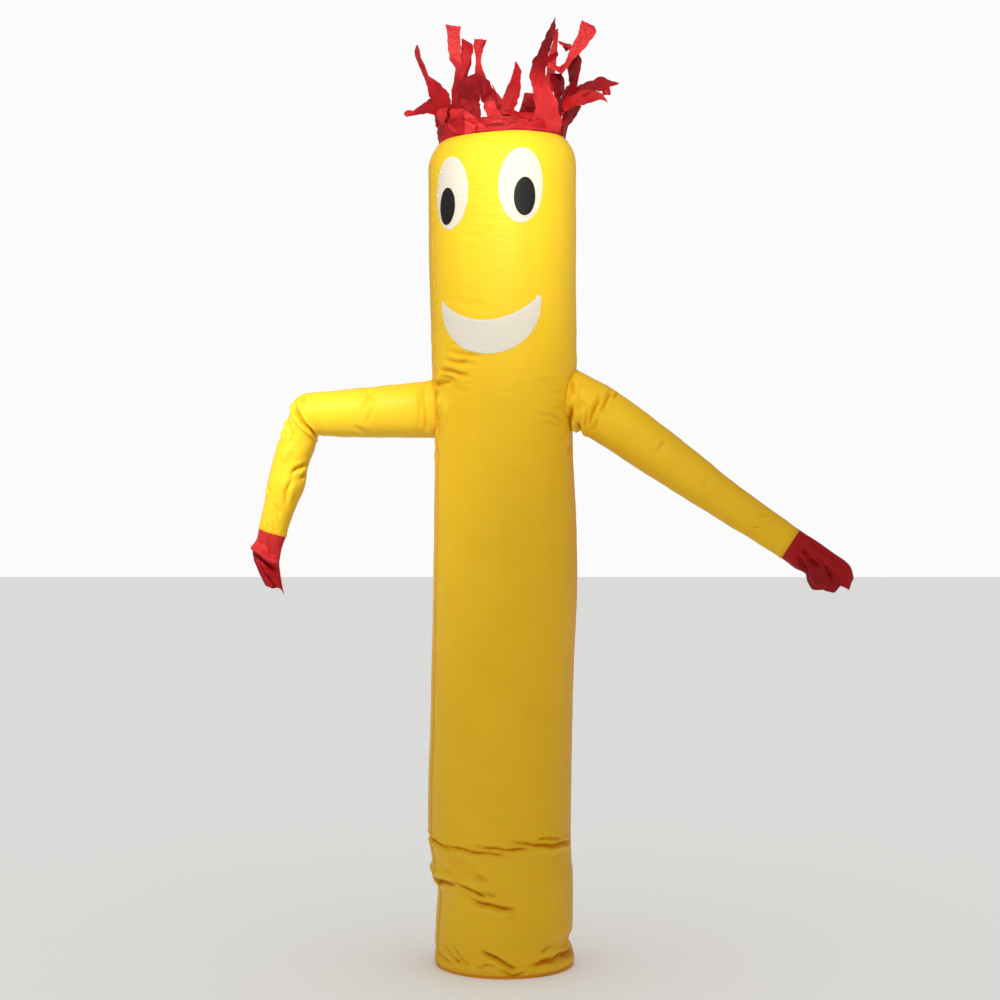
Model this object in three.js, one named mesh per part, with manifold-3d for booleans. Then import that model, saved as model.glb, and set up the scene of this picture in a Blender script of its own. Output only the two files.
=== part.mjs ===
// Inflatable air dancer: a figure sewn from nylon, blown up and standing on its hem.
// Millimetres, +Z up. -Y is the front, with the face, and +X is the viewer's right.
// Every piece of cloth is its own solid: a thin shell in its blown-up shape.
import * as THREE from "three";
import { mergeVertices } from "three/addons/utils/BufferGeometryUtils.js";
import Module from "manifold-3d";

const wasm = await Module();
wasm.setup();

// Driving sizes
const CLOTH = 2; // thickness of the cloth
const HEM_CLOTH = 3; // thickness of the folded hem
const HEM_HEIGHT = 24;
const GAP = 0.4; // left between two sewn pieces
const PAST_END = 40; // how far a cutting solid reaches past the piece it cuts
const AXIS_X = -134; // the tube's axis, seen from the middle of the whole figure
const AXIS_Y = 0;

const COLOURS = {
  yellow: "#e2b52e",
  red: "#d02a26",
  darkRed: "#8c1b22",
  white: "#f7efe5",
  black: "#35312e",
};

// The tube's outline from the hem up: its reach to the left and to the right of the axis
const TUBE_OUTLINE = [
  { z: 0, left: 214, right: 222 },
  { z: 22, left: 217, right: 223 },
  { z: 54, left: 214, right: 216 },
  { z: 76, left: 216, right: 206 },
  { z: 133, left: 214, right: 220 },
  { z: 247, left: 208, right: 220 },
  { z: 285, left: 230, right: 220 },
  { z: 323, left: 227, right: 217 },
  { z: 387, left: 236, right: 214 },
  { z: 450, left: 239, right: 214 },
  { z: 831, left: 230, right: 220 },
  { z: 1211, left: 223, right: 233 },
  { z: 1401, left: 220, right: 230 },
  { z: 1655, left: 217, right: 220 },
  { z: 1908, left: 227, right: 233 },
  { z: 2255, left: 235, right: 230 },
  { z: 2515, left: 237, right: 230 },
];
const CROWN = { base: 2515, height: 158, rings: 6, tip: 0.06 };
const HEAD_TILT = { slope: 0.042, from: 2300, to: 2560 };

// Where the tube's rings lie: close together across the folds, far apart where it is plain
const TUBE_SIDES = 38;
const TUBE_RINGS = [
  { from: 0, to: 110, count: 5 },
  { from: 110, to: 190, count: 2 },
  { from: 190, to: 440, count: 12 },
  { from: 440, to: 1600, count: 6 },
  { from: 1600, to: 1960, count: 9 },
  { from: 1960, to: CROWN.base, count: 6 },
];

// Creases in the tube: each runs through places given as [degrees round from the front, height].
// Depth is inwards, so a ridge has a depth below zero, and half is half of its width.
const TUBE_CREASES = [
  { at: "waist, left", run: [[-78, 405], [-64, 395], [-32, 370]], depth: 16, half: 22 },
  { at: "waist, front", run: [[-27, 409], [-11, 395], [2, 387], [14, 360]], depth: 14, half: 20 },
  { at: "waist, right", run: [[1, 403], [22, 401], [49, 394], [80, 394]], depth: 15, half: 20 },
  { at: "lip above the waist", run: [[18, 424], [38, 432], [66, 420]], depth: -7, half: 16 },
  { at: "roll under the waist", run: [[-60, 340], [-20, 330], [30, 350], [70, 350]], depth: -7, half: 30 },
  { at: "waist, back", run: [[110, 410], [150, 385], [190, 398], [230, 372]], depth: 14, half: 24 },
  { at: "knee, left", run: [[-104, 262], [-70, 259], [-33, 279], [-14, 243]], depth: 15, half: 22 },
  { at: "knee, front", run: [[-35, 239], [-17, 215], [-4, 217], [14, 200]], depth: 11, half: 20 },
  { at: "knee, back", run: [[130, 250], [165, 226], [205, 240]], depth: 12, half: 26 },
  { at: "gather at the hem, far left", run: [[-76, 66], [-46, 28]], depth: 9, half: 15 },
  { at: "gather at the hem, left", run: [[-50, 92], [-25, 26]], depth: 8, half: 16 },
  { at: "gather at the hem, front", run: [[-23, 94], [-3, 52], [17, 26]], depth: 8, half: 16 },
  { at: "gather at the hem, right", run: [[82, 56], [41, 42], [20, 30]], depth: 9, half: 15 },
  { at: "gather at the hem, back", run: [[140, 80], [165, 40], [195, 62]], depth: 8, half: 18 },
  { at: "pull at the left shoulder", run: [[-62, 1908], [-25, 1880]], depth: 7, half: 16 },
  { at: "deep pull at the left shoulder", run: [[-66, 1862], [-41, 1859], [-27, 1841]], depth: 11, half: 18 },
  { at: "bulge by the left arm", run: [[-66, 1795], [-50, 1800]], depth: -7, half: 26 },
  { at: "upper pull at the right arm", run: [[57, 1822], [34, 1860]], depth: 7, half: 18 },
  { at: "middle pull at the right arm", run: [[58, 1775], [33, 1790]], depth: 6, half: 16 },
  { at: "lower pull at the right arm", run: [[60, 1700], [29, 1735]], depth: 8, half: 18 },
];

// The arms and hands lie in upright planes through the tube's axis. A row gives the two edges
// of one section, [distance from the axis, height], outer on the elbow's side and inner under it.
// Flat is the section's depth over its width.
const ARM_SIDES = 18;
const LEFT_HEADING = -98;
const RIGHT_HEADING = 80;
const LEFT_ARM = [
  { outer: [140, 1853], inner: [140, 1663], flat: 0.88 },
  { outer: [225, 1845], inner: [220, 1664], flat: 0.88 },
  { outer: [300, 1837], inner: [300, 1664], flat: 0.92 },
  { outer: [380, 1829], inner: [380, 1665], flat: 0.95 },
  { outer: [465, 1822], inner: [462, 1666], flat: 0.96 },
  { outer: [545, 1815], inner: [535, 1668], flat: 0.96 },
  { outer: [605, 1810], inner: [582, 1672], flat: 0.96 },
  { outer: [650, 1804], inner: [600, 1673], flat: 0.94 },
  { outer: [677, 1783], inner: [606, 1662], flat: 0.94 },
  { outer: [700, 1729], inner: [610, 1648], flat: 0.95 },
  { outer: [727, 1658], inner: [616, 1625], flat: 0.96 },
  { outer: [747, 1593], inner: [637, 1572], flat: 0.97 },
  { outer: [764, 1529], inner: [648, 1505], flat: 0.96 },
  { outer: [775, 1465], inner: [676, 1441], flat: 0.95 },
  { outer: [788, 1403], inner: [700, 1381], flat: 0.9 },
  { outer: [794, 1372], inner: [710, 1346], flat: 0.82 },
];
const LEFT_HAND = [
  { outer: [794, 1372], inner: [710, 1346], flat: 0.82 },
  { outer: [806, 1325], inner: [721, 1312], flat: 0.66 },
  { outer: [818, 1299], inner: [727, 1286], flat: 0.6 },
  { outer: [806, 1262], inner: [731, 1254], flat: 0.58 },
  { outer: [791, 1224], inner: [728, 1220], flat: 0.56 },
  { outer: [774, 1190], inner: [722, 1188], flat: 0.54 },
];
const RIGHT_ARM = [
  { outer: [140, 1905], inner: [122, 1730], flat: 0.86 },
  { outer: [236, 1872], inner: [206, 1688], flat: 0.86 },
  { outer: [290, 1844], inner: [236, 1682], flat: 0.9 },
  { outer: [351, 1810], inner: [268, 1665], flat: 0.94 },
  { outer: [426, 1757], inner: [344, 1618], flat: 0.96 },
  { outer: [528, 1679], inner: [448, 1549], flat: 0.97 },
  { outer: [629, 1597], inner: [555, 1483], flat: 0.97 },
  { outer: [729, 1516], inner: [662, 1416], flat: 0.96 },
  { outer: [830, 1441], inner: [769, 1350], flat: 0.92 },
  { outer: [927, 1370], inner: [873, 1286], flat: 0.82 },
];
const RIGHT_HAND = [
  { outer: [927, 1370], inner: [873, 1286], flat: 0.82 },
  { outer: [974, 1339], inner: [916, 1254], flat: 0.68 },
  { outer: [1034, 1298], inner: [946, 1238], flat: 0.6 },
  { outer: [1080, 1264], inner: [950, 1216], flat: 0.56 },
  { outer: [1087, 1238], inner: [963, 1194], flat: 0.52 },
];
// Creases in the arms: [distance along the arm from its first row, degrees round from the outer edge]
const LEFT_ARM_CREASES = [
  { at: "root", run: [[115, -80], [120, 40], [125, 120]], depth: 6, half: 14 },
  { at: "upper arm", run: [[258, -20], [268, 60]], depth: 5, half: 16 },
  { at: "elbow, outside", run: [[600, 20], [585, 75]], depth: 8, half: 16 },
  { at: "elbow, inside", run: [[560, 120], [565, 180], [560, 240]], depth: 9, half: 15 },
  { at: "forearm", run: [[655, 10], [670, 70]], depth: 6, half: 14 },
];
const RIGHT_ARM_CREASES = [
  { at: "root", run: [[112, -60], [118, 60], [110, 150]], depth: 7, half: 14 },
  { at: "armpit", run: [[168, 110], [176, 180], [168, 240]], depth: 8, half: 15 },
  { at: "upper arm", run: [[215, -30], [235, 100]], depth: 6, half: 15 },
  { at: "mid arm", run: [[455, 60], [440, 150]], depth: 5, half: 16 },
];
// Frayed ends of the hands: how far the cut edge hangs past the last row at each place round it
const LEFT_FRAY = [
  { around: 0, drop: 0 },
  { around: 70, drop: 8 },
  { around: 130, drop: 4 },
  { around: 180, drop: 28 },
  { around: 230, drop: 6 },
  { around: 300, drop: 12 },
];
const RIGHT_FRAY = [
  { around: 0, drop: 10 },
  { around: 50, drop: 44 },
  { around: 72, drop: 24 },
  { around: 96, drop: 38 },
  { around: 125, drop: 18 },
  { around: 180, drop: 2 },
  { around: 240, drop: 16 },
  { around: 310, drop: 24 },
];

// The hair: a band round the crown, and the streamers that its upper part is cut into
const BAND = { sides: 32, inner: 198.2, cloth: 2.4, base: 2601, height: 74, flare: 9, rootRise: 40 };
const STREAMER_CLOTH = 2.4;
const STREAMER_STEPS = 2; // between two places
// Root is in degrees round from the front and wide is the width there. Each place that a streamer
// passes through is [x, y, z] from the tube's axis, with the streamer's width there. Turn is the
// way that its flat side looks at the tip, in degrees round from the front.
const STREAMERS = [
  {
    root: -84, wide: 50, turn: -35,
    places: [[-212, -60, 2736, 54], [-236, -62, 2788, 30], [-264, -64, 2840, 24], [-272, -66, 2890, 6]],
  },
  {
    root: -102, wide: 44, turn: -20,
    places: [[-240, -36, 2706, 38], [-274, -30, 2694, 26], [-308, -24, 2686, 18]],
  },
  { root: -65, wide: 48, turn: -30, places: [[-172, -104, 2712, 50], [-150, -92, 2752, 30]] },
  {
    root: -47, wide: 50, turn: 4,
    places: [[-144, -132, 2732, 44], [-136, -126, 2798, 32], [-150, -122, 2856, 46], [-154, -118, 2940, 44]],
  },
  {
    root: -12, wide: 52, turn: 8,
    places: [[-54, -184, 2722, 60], [-76, -176, 2802, 22], [-74, -172, 2850, 26], [-72, -168, 2888, 42]],
  },
  { root: -29, wide: 46, turn: -50, places: [[-96, -146, 2720, 46], [-84, -118, 2774, 30]] },
  {
    root: 5, wide: 46, turn: 14,
    places: [[22, -200, 2698, 48], [40, -194, 2760, 26], [38, -190, 2808, 6]],
  },
  { root: 21, wide: 44, turn: 10, places: [[50, -156, 2700, 46], [14, -118, 2714, 24]] },
  {
    root: 40, wide: 62, turn: -20,
    places: [[124, -166, 2712, 68], [106, -158, 2786, 50], [122, -152, 2846, 42], [158, -148, 2952, 8]],
  },
  { root: 59, wide: 44, turn: 66, places: [[150, -100, 2724, 46], [160, -66, 2794, 30]] },
  {
    root: 74, wide: 40, turn: 24,
    places: [[180, -96, 2794, 26], [204, -90, 2850, 24], [252, -86, 2922, 46], [268, -84, 2950, 46]],
  },
  {
    root: 89, wide: 46, turn: 30,
    places: [[240, -44, 2728, 58], [290, -46, 2754, 68], [344, -50, 2766, 34]],
  },
  { root: 105, wide: 44, turn: 60, places: [[222, 28, 2700, 44], [246, 20, 2722, 18]] },
  {
    root: 121, wide: 44, turn: 84,
    places: [[214, 84, 2800, 36], [226, 80, 2858, 30], [238, 78, 2904, 10]],
  },
  {
    root: 138, wide: 50, turn: 160,
    places: [[154, 150, 2836, 36], [160, 152, 2908, 28], [178, 152, 2992, 6]],
  },
  { root: 160, wide: 54, turn: 176, places: [[84, 196, 2760, 50], [92, 214, 2806, 40]] },
  { root: 182, wide: 54, turn: 190, places: [[-30, 206, 2772, 52], [-50, 212, 2812, 38]] },
  { root: 205, wide: 56, turn: 196, places: [[-112, 176, 2778, 58], [-106, 184, 2834, 48]] },
  {
    root: 224, wide: 50, turn: 206,
    places: [[-140, 128, 2812, 32], [-116, 112, 2882, 36], [-114, 104, 2940, 30]],
  },
  { root: 244, wide: 52, turn: 240, places: [[-200, 74, 2752, 44], [-222, 88, 2796, 26]] },
];

// The face: ovals and a crescent of sewn-on cloth, turned to the viewer's left
const PATCH_CLOTH = 1.2;
const PATCH_LIFT = 0.9; // from the round tube to the back of a patch
const EYES = [
  { side: "left", deg: -43.5, z: 2413, across: 136, tall: 231, lean: 2.5 },
  { side: "right", deg: 14.2, z: 2425, across: 142, tall: 227, lean: 2.6 },
];
const PUPILS = [
  { side: "left", deg: -46.5, z: 2372, across: 66, tall: 118, lean: 2.5 },
  { side: "right", deg: 16.7, z: 2391, across: 68, tall: 116, lean: 2.6 },
];
const OVAL_SIDES = 24;
const EYE_RINGS = 4; // from the middle of the oval out
const PUPIL_RINGS = 2;
const MOUTH = {
  deg: -13,
  z: 2077,
  half: 174,
  upperHalf: 160,
  upperSag: 62,
  lowerSag: 166,
  roundTip: 26,
  lean: -2.1,
  columns: 24,
  rows: 4,
};

// ---- numbers between the rows of a table ----

const radians = THREE.MathUtils.degToRad;
const { lerp, smoothstep } = THREE.MathUtils;

function between(rows, key, at, name) {
  const last = rows.length - 1;
  if (at <= rows[0][key]) return rows[0][name];
  if (at >= rows[last][key]) return rows[last][name];
  const i = rows.findIndex((row) => row[key] > at) - 1;
  return lerp(rows[i][name], rows[i + 1][name], (at - rows[i][key]) / (rows[i + 1][key] - rows[i][key]));
}

function distanceToRun(points, x, y) {
  const here = new THREE.Vector3(x, y, 0);
  const near = new THREE.Vector3();
  const distances = points.slice(1).map((to, i) => {
    const line = new THREE.Line3(points[i], to);
    return line.closestPointToPoint(here, true, near).distanceTo(here);
  });
  return Math.min(...distances);
}

// How far the creases push the cloth in at a place on it, laid out flat in millimetres
function creaseDepth(creases, x, y, girth) {
  let depth = 0;
  for (const crease of creases) {
    for (const turn of [-girth, 0, girth]) {
      const distance = distanceToRun(crease.points, x + turn, y);
      depth += crease.depth * Math.exp(-((distance / crease.half) ** 2));
    }
  }
  return depth;
}

// ---- closed meshes ----

function meshGeometry(points, faces) {
  const geometry = new THREE.BufferGeometry();
  geometry.setAttribute("position", new THREE.Float32BufferAttribute(points.flatMap((p) => p.toArray()), 3));
  geometry.setIndex(faces.flat());
  return geometry;
}

// A closed solid through rings of points, with a fan over each end. The second half of each ring
// is split along the other diagonal, so that both faces of a thin twisted strip stay parallel.
function loft(rings) {
  const sides = rings[0].length;
  const points = rings.flat();
  const middles = [rings[0], rings.at(-1)].map((ring) =>
    ring.reduce((sum, p) => sum.add(p), new THREE.Vector3()).divideScalar(sides),
  );
  const faces = [];
  for (let r = 0; r < rings.length - 1; r++) {
    for (let s = 0; s < sides; s++) {
      const a = r * sides + s;
      const b = r * sides + ((s + 1) % sides);
      if (s < sides / 2) faces.push([a, b, b + sides], [a, b + sides, a + sides]);
      else faces.push([a, b, a + sides], [b, b + sides, a + sides]);
    }
  }
  const top = (rings.length - 1) * sides;
  for (let s = 0; s < sides; s++) {
    const next = (s + 1) % sides;
    faces.push([points.length, next, s], [points.length + 1, top + s, top + next]);
  }
  return meshGeometry([...points, ...middles], faces);
}

function solid(geometry) {
  const plain = new THREE.BufferGeometry();
  plain.setAttribute("position", geometry.getAttribute("position"));
  plain.setIndex(geometry.getIndex());
  const merged = mergeVertices(plain, 1e-4);
  const vertProperties = new Float32Array(merged.getAttribute("position").array);
  const triVerts = new Uint32Array(merged.getIndex().array);
  const made = new wasm.Manifold(new wasm.Mesh({ numProp: 3, vertProperties, triVerts }));
  if (made.volume() > 0) return made;
  for (let i = 0; i < triVerts.length; i += 3) {
    [triVerts[i], triVerts[i + 1]] = [triVerts[i + 1], triVerts[i]];
  }
  return new wasm.Manifold(new wasm.Mesh({ numProp: 3, vertProperties, triVerts }));
}

function geometryOf(made) {
  const mesh = made.getMesh();
  const geometry = new THREE.BufferGeometry();
  geometry.setAttribute("position", new THREE.BufferAttribute(new Float32Array(mesh.vertProperties), 3));
  geometry.setIndex(new THREE.BufferAttribute(new Uint32Array(mesh.triVerts), 1));
  return geometry;
}

// ---- the body tube ----

const tubeReach = (z, side) => between(TUBE_OUTLINE, "z", z, side);
const tubeRadius = (z) => (tubeReach(z, "left") + tubeReach(z, "right")) / 2;
const tubeMiddle = (z) => (tubeReach(z, "right") - tubeReach(z, "left")) / 2;
const TUBE_GIRTH = 2 * Math.PI * tubeRadius(CROWN.base);
const tubeCreases = TUBE_CREASES.map((crease) => ({
  ...crease,
  points: crease.run.map(([deg, z]) => new THREE.Vector3((deg / 360) * TUBE_GIRTH, z, 0)),
}));

// A point of the tube's cloth, or out millimetres off it; turn is degrees round from the front
function tubePoint(deg, z, out = 0) {
  const rise = Math.max(0, z - CROWN.base) / CROWN.height;
  const shrink = Math.sqrt(Math.max(0, 1 - rise * rise));
  const pushed = z > 0 ? creaseDepth(tubeCreases, (deg / 360) * TUBE_GIRTH, z, TUBE_GIRTH) : 0;
  const radius = tubeRadius(z) * shrink - pushed + out;
  const turn = radians(deg);
  const x = tubeMiddle(z) + radius * Math.sin(turn);
  const tilt = HEAD_TILT.slope * smoothstep(z, HEAD_TILT.from, HEAD_TILT.to);
  return new THREE.Vector3(x, -radius * Math.cos(turn), z + tilt * x);
}

function tubeHeights() {
  const heights = [];
  for (const { from, to, count } of TUBE_RINGS) {
    for (let i = 0; i < count; i++) heights.push(lerp(from, to, i / count));
  }
  for (let i = 0; i <= CROWN.rings; i++) {
    const angle = (Math.PI / 2) * (i / CROWN.rings) * (1 - CROWN.tip);
    heights.push(CROWN.base + CROWN.height * Math.sin(angle));
  }
  return heights;
}

function tubeRing(z, out, lower = 0) {
  return Array.from({ length: TUBE_SIDES }, (_, i) => {
    const point = tubePoint((i / TUBE_SIDES) * 360 - 180, z, out);
    point.z -= lower;
    return point;
  });
}

// The tube's whole inside and cloth as one closed solid, grown or shrunk by out
function tubeSolid(out) {
  return solid(loft(tubeHeights().map((z) => tubeRing(z, out, z > CROWN.base ? -out : 0))));
}

function tubeInside() {
  const rings = tubeHeights().map((z) =>
    tubeRing(z, z < HEM_HEIGHT ? -HEM_CLOTH : -CLOTH, z > CROWN.base ? CLOTH : 0),
  );
  return solid(loft([tubeRing(0, -HEM_CLOTH, PAST_END), ...rings]));
}

// ---- arms and hands ----

function headingPoint(heading, distance, z, side = 0) {
  const along = new THREE.Vector3(Math.sin(radians(heading)), -Math.cos(radians(heading)), 0);
  const across = new THREE.Vector3(along.y, -along.x, 0);
  return along.multiplyScalar(distance).addScaledVector(across, side).setZ(z);
}

function edgeCurve(rows, name) {
  return new THREE.CatmullRomCurve3(rows.map((row) => new THREE.Vector3(row[name][0], row[name][1], 0)));
}

// Rings along a limb: the edges give each section's middle and width, and flat gives its depth
function limbRings({ rows, heading, creases = [], fray = [], steps }, inset) {
  const outer = edgeCurve(rows, "outer");
  const inner = edgeCurve(rows, "inner");
  const flats = rows.map((row, i) => ({ i, flat: row.flat }));
  const girth = Math.PI * outer.getPoint(0.3).distanceTo(inner.getPoint(0.3));
  const runs = creases.map((crease) => ({
    ...crease,
    points: crease.run.map(([along, around]) => new THREE.Vector3((around / 360) * girth, along, 0)),
  }));
  const frayed = fray.length ? [...fray, { around: 360, drop: fray[0].drop }] : [];
  let travelled = 0;
  let before = null;
  const rings = [];
  for (let step = 0; step <= steps; step++) {
    const t = step / steps;
    const [a, b] = [outer.getPoint(t), inner.getPoint(t)];
    const middle = a.clone().add(b).divideScalar(2);
    if (before) travelled += middle.distanceTo(before);
    const forward = before ? middle.clone().sub(before).normalize() : new THREE.Vector3();
    before = middle;
    const half = a.distanceTo(b) / 2;
    const reach = a.clone().sub(b).normalize();
    const depth = half * between(flats, "i", t * (rows.length - 1), "flat");
    rings.push(
      Array.from({ length: ARM_SIDES }, (_, i) => {
        const around = (i / ARM_SIDES) * 360;
        const pushed = creaseDepth(runs, (around / 360) * girth, travelled, girth) + inset;
        const place = middle.clone().addScaledVector(reach, (half - pushed) * Math.cos(radians(around)));
        if (step === steps && frayed.length) {
          place.addScaledVector(forward, between(frayed, "around", around, "drop"));
        }
        return headingPoint(heading, place.x, place.y, (depth - pushed) * Math.sin(radians(around)));
      }),
    );
  }
  return rings;
}

function carriedOn(rings, distance, end) {
  const [ring, behind] = end === "last" ? [rings.at(-1), rings.at(-2)] : [rings[0], rings[1]];
  return ring.map((point, i) => {
    const forward = point.clone().sub(behind[i]).normalize();
    return point.clone().addScaledVector(forward, distance);
  });
}

function limbInside(limb) {
  const rings = limbRings(limb, CLOTH);
  return solid(loft([carriedOn(rings, PAST_END, "first"), ...rings, carriedOn(rings, PAST_END, "last")]));
}

function limbShell(limb) {
  return solid(loft(limbRings(limb, 0))).subtract(limbInside(limb));
}

// A hand starts a gap past the wrist, where the arm's cloth ends
function handShell(limb) {
  const rings = limbRings(limb, 0);
  const forward = rings[1][0].clone().sub(rings[0][0]).normalize().multiplyScalar(GAP);
  rings[0].forEach((point) => point.add(forward));
  return solid(loft(rings)).subtract(limbInside(limb));
}

// ---- the hair ----

function bandPoint(deg, rise, out) {
  const radius = BAND.inner + out + BAND.flare * (1 - Math.sin(radians(deg))) * (rise / BAND.height) ** 2;
  const x = tubeMiddle(BAND.base) + radius * Math.sin(radians(deg));
  return new THREE.Vector3(x, -radius * Math.cos(radians(deg)), BAND.base + rise + HEAD_TILT.slope * x);
}

function bandSolid() {
  const wall = (out, low, high) =>
    solid(
      loft(
        [low, BAND.height / 2, high].map((rise) =>
          Array.from({ length: BAND.sides }, (_, i) => bandPoint((i / BAND.sides) * 360, rise, out)),
        ),
      ),
    );
  return wall(BAND.cloth, 0, BAND.height).subtract(wall(0, -PAST_END, BAND.height + PAST_END));
}

function streamerSolid({ root, wide, turn, places }) {
  const start = bandPoint(root, BAND.rootRise, BAND.cloth / 2);
  const leave = bandPoint(root, BAND.height, BAND.cloth / 2);
  const passed = places.map(([x, y, z]) => new THREE.Vector3(x, y, z));
  const route = new THREE.CatmullRomCurve3([start, leave, ...passed]);
  const widths = [wide, wide, ...places.map((place) => place[3])].map((across, i) => ({ i, across }));
  const last = widths.length - 1;
  const steps = last * STREAMER_STEPS;
  const rings = [];
  for (let step = 0; step <= steps; step++) {
    const t = step / steps;
    const along = route.getTangent(t);
    const facing = radians(lerp(root, turn, smoothstep(t, 0.2, 1)));
    const face = new THREE.Vector3(Math.sin(facing), -Math.cos(facing), 0);
    const across = along.clone().cross(face).normalize();
    const thick = across.clone().cross(along).multiplyScalar(STREAMER_CLOTH / 2);
    const half = between(widths, "i", t * last, "across") / 2;
    const middle = route.getPoint(t);
    rings.push(
      [[-1, -1], [1, -1], [1, 1], [-1, 1]].map(([a, b]) =>
        middle.clone().addScaledVector(across, a * half).addScaledVector(thick, b),
      ),
    );
  }
  return solid(loft(rings));
}

function hairGeometry() {
  return geometryOf(STREAMERS.reduce((hair, row) => hair.add(streamerSolid(row)), bandSolid()));
}

// ---- the face ----

// A place on the tube, given in millimetres across and up from the middle of a patch
function patchPoint(patch, across, up, out) {
  const lean = radians(patch.lean);
  const x = across * Math.cos(lean) + up * Math.sin(lean);
  const y = up * Math.cos(lean) - across * Math.sin(lean);
  const deg = patch.deg + (x / TUBE_GIRTH) * 360;
  return tubePoint(deg, patch.z + y, out);
}

// A thin patch from a front and a back layer with the same points, and a rim between them
function patchGeometry(front, back, faces, rim) {
  const count = front.length;
  const turned = faces.map(([a, b, c]) => [a + count, c + count, b + count]);
  const sides = rim.flatMap((a, i) => {
    const b = rim[(i + 1) % rim.length];
    return [[a, a + count, b + count], [a, b + count, b]];
  });
  return geometryOf(solid(meshGeometry([...front, ...back], [...faces, ...turned, ...sides])));
}

function ovalGeometry(oval, rings, lift) {
  const layer = (out) => {
    const points = [patchPoint(oval, 0, 0, out)];
    for (let ring = 1; ring <= rings; ring++) {
      for (let i = 0; i < OVAL_SIDES; i++) {
        const turn = (i / OVAL_SIDES) * 2 * Math.PI;
        const half = ring / rings / 2;
        const across = half * oval.across * Math.cos(turn);
        points.push(patchPoint(oval, across, half * oval.tall * Math.sin(turn), out));
      }
    }
    return points;
  };
  const at = (ring, i) => 1 + (ring - 1) * OVAL_SIDES + (i % OVAL_SIDES);
  const faces = [];
  for (let i = 0; i < OVAL_SIDES; i++) {
    faces.push([0, at(1, i), at(1, i + 1)]);
    for (let ring = 1; ring < rings; ring++) {
      faces.push([at(ring, i), at(ring + 1, i), at(ring + 1, i + 1)]);
      faces.push([at(ring, i), at(ring + 1, i + 1), at(ring, i + 1)]);
    }
  }
  const rim = Array.from({ length: OVAL_SIDES }, (_, i) => at(rings, i));
  return patchGeometry(layer(lift + PATCH_CLOTH), layer(lift), faces, rim);
}

function mouthEdges(across) {
  const lower = -MOUTH.lowerSag * Math.sqrt(Math.max(0, 1 - (across / MOUTH.half) ** 2));
  const plain = -MOUTH.upperSag * (1 - (across / MOUTH.upperHalf) ** 2);
  const past = Math.max(0, Math.abs(across) - (MOUTH.half - MOUTH.roundTip)) / MOUTH.roundTip;
  return { lower, upper: lerp(lower, plain, Math.sqrt(Math.max(0, 1 - past * past))) };
}

function mouthGeometry(lift) {
  const { columns, rows, half } = MOUTH;
  const last = 0.997; // stops just short of the sharp tips
  const layer = (out) => {
    const points = [];
    for (let c = 0; c <= columns; c++) {
      const across = half * Math.sin((Math.PI / 2) * lerp(-last, last, c / columns));
      const { lower, upper } = mouthEdges(across);
      for (let r = 0; r <= rows; r++) {
        points.push(patchPoint(MOUTH, across, lerp(lower, upper, r / rows), out));
      }
    }
    return points;
  };
  const at = (c, r) => c * (rows + 1) + r;
  const faces = [];
  for (let c = 0; c < columns; c++) {
    for (let r = 0; r < rows; r++) {
      faces.push([at(c, r), at(c + 1, r), at(c + 1, r + 1)], [at(c, r), at(c + 1, r + 1), at(c, r + 1)]);
    }
  }
  const rim = [];
  for (let c = 0; c < columns; c++) rim.push(at(c, 0));
  for (let r = 0; r < rows; r++) rim.push(at(columns, r));
  for (let c = columns; c > 0; c--) rim.push(at(c, rows));
  for (let r = rows; r > 0; r--) rim.push(at(0, r));
  return patchGeometry(layer(lift + PATCH_CLOTH), layer(lift), faces, rim);
}

// ---- the whole figure ----

const figure = new THREE.Group();
figure.position.set(AXIS_X, AXIS_Y, 0);

function piece(name, geometry, color) {
  const material = new THREE.MeshStandardMaterial({ color, roughness: 0.55, metalness: 0 });
  const mesh = new THREE.Mesh(geometry, material);
  mesh.name = name;
  figure.add(mesh);
}

const leftArm = { rows: LEFT_ARM, heading: LEFT_HEADING, creases: LEFT_ARM_CREASES, steps: 26 };
const rightArm = { rows: RIGHT_ARM, heading: RIGHT_HEADING, creases: RIGHT_ARM_CREASES, steps: 24 };
const leftHand = { rows: LEFT_HAND, heading: LEFT_HEADING, fray: LEFT_FRAY, steps: 6 };
const rightHand = { rows: RIGHT_HAND, heading: RIGHT_HEADING, fray: RIGHT_FRAY, steps: 6 };

// The arms open into the tube through round holes, and end on its cloth
const body = tubeSolid(0).subtract(tubeInside()).subtract(limbInside(leftArm)).subtract(limbInside(rightArm));
const sewnOn = tubeSolid(GAP);
piece("body_tube", geometryOf(body), COLOURS.yellow);
piece("arm_left", geometryOf(limbShell(leftArm).subtract(sewnOn)), COLOURS.yellow);
piece("arm_right", geometryOf(limbShell(rightArm).subtract(sewnOn)), COLOURS.yellow);
piece("hand_left", geometryOf(handShell(leftHand)), COLOURS.red);
piece("hand_right", geometryOf(handShell(rightHand)), COLOURS.darkRed);
piece("hair_band", hairGeometry(), COLOURS.red);

const pupilLift = PATCH_LIFT + PATCH_CLOTH + GAP;
for (const eye of EYES) {
  piece(`eye_white_${eye.side}`, ovalGeometry(eye, EYE_RINGS, PATCH_LIFT), COLOURS.white);
}
for (const pupil of PUPILS) {
  piece(`pupil_${pupil.side}`, ovalGeometry(pupil, PUPIL_RINGS, pupilLift), COLOURS.black);
}
piece("mouth_patch", mouthGeometry(PATCH_LIFT), COLOURS.white);

export default figure;
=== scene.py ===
# %% [markdown]
# # An inflatable air dancer, dressed in Blender
#
# The real thing is a figure about three metres tall, sewn from thin coated nylon. A blower under
# its open hem fills it with air, and the sleeves and the streamers flap in the wind. The packed
# model gives the place of every piece, so this lesson only makes the cloth: its folds, its seams,
# its colours and its stitches. Sizes are in millimetres until a mesh is made.

# %% The frame and a few helpers
import math

import bmesh
import bpy
import numpy as np
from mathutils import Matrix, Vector, noise


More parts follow.
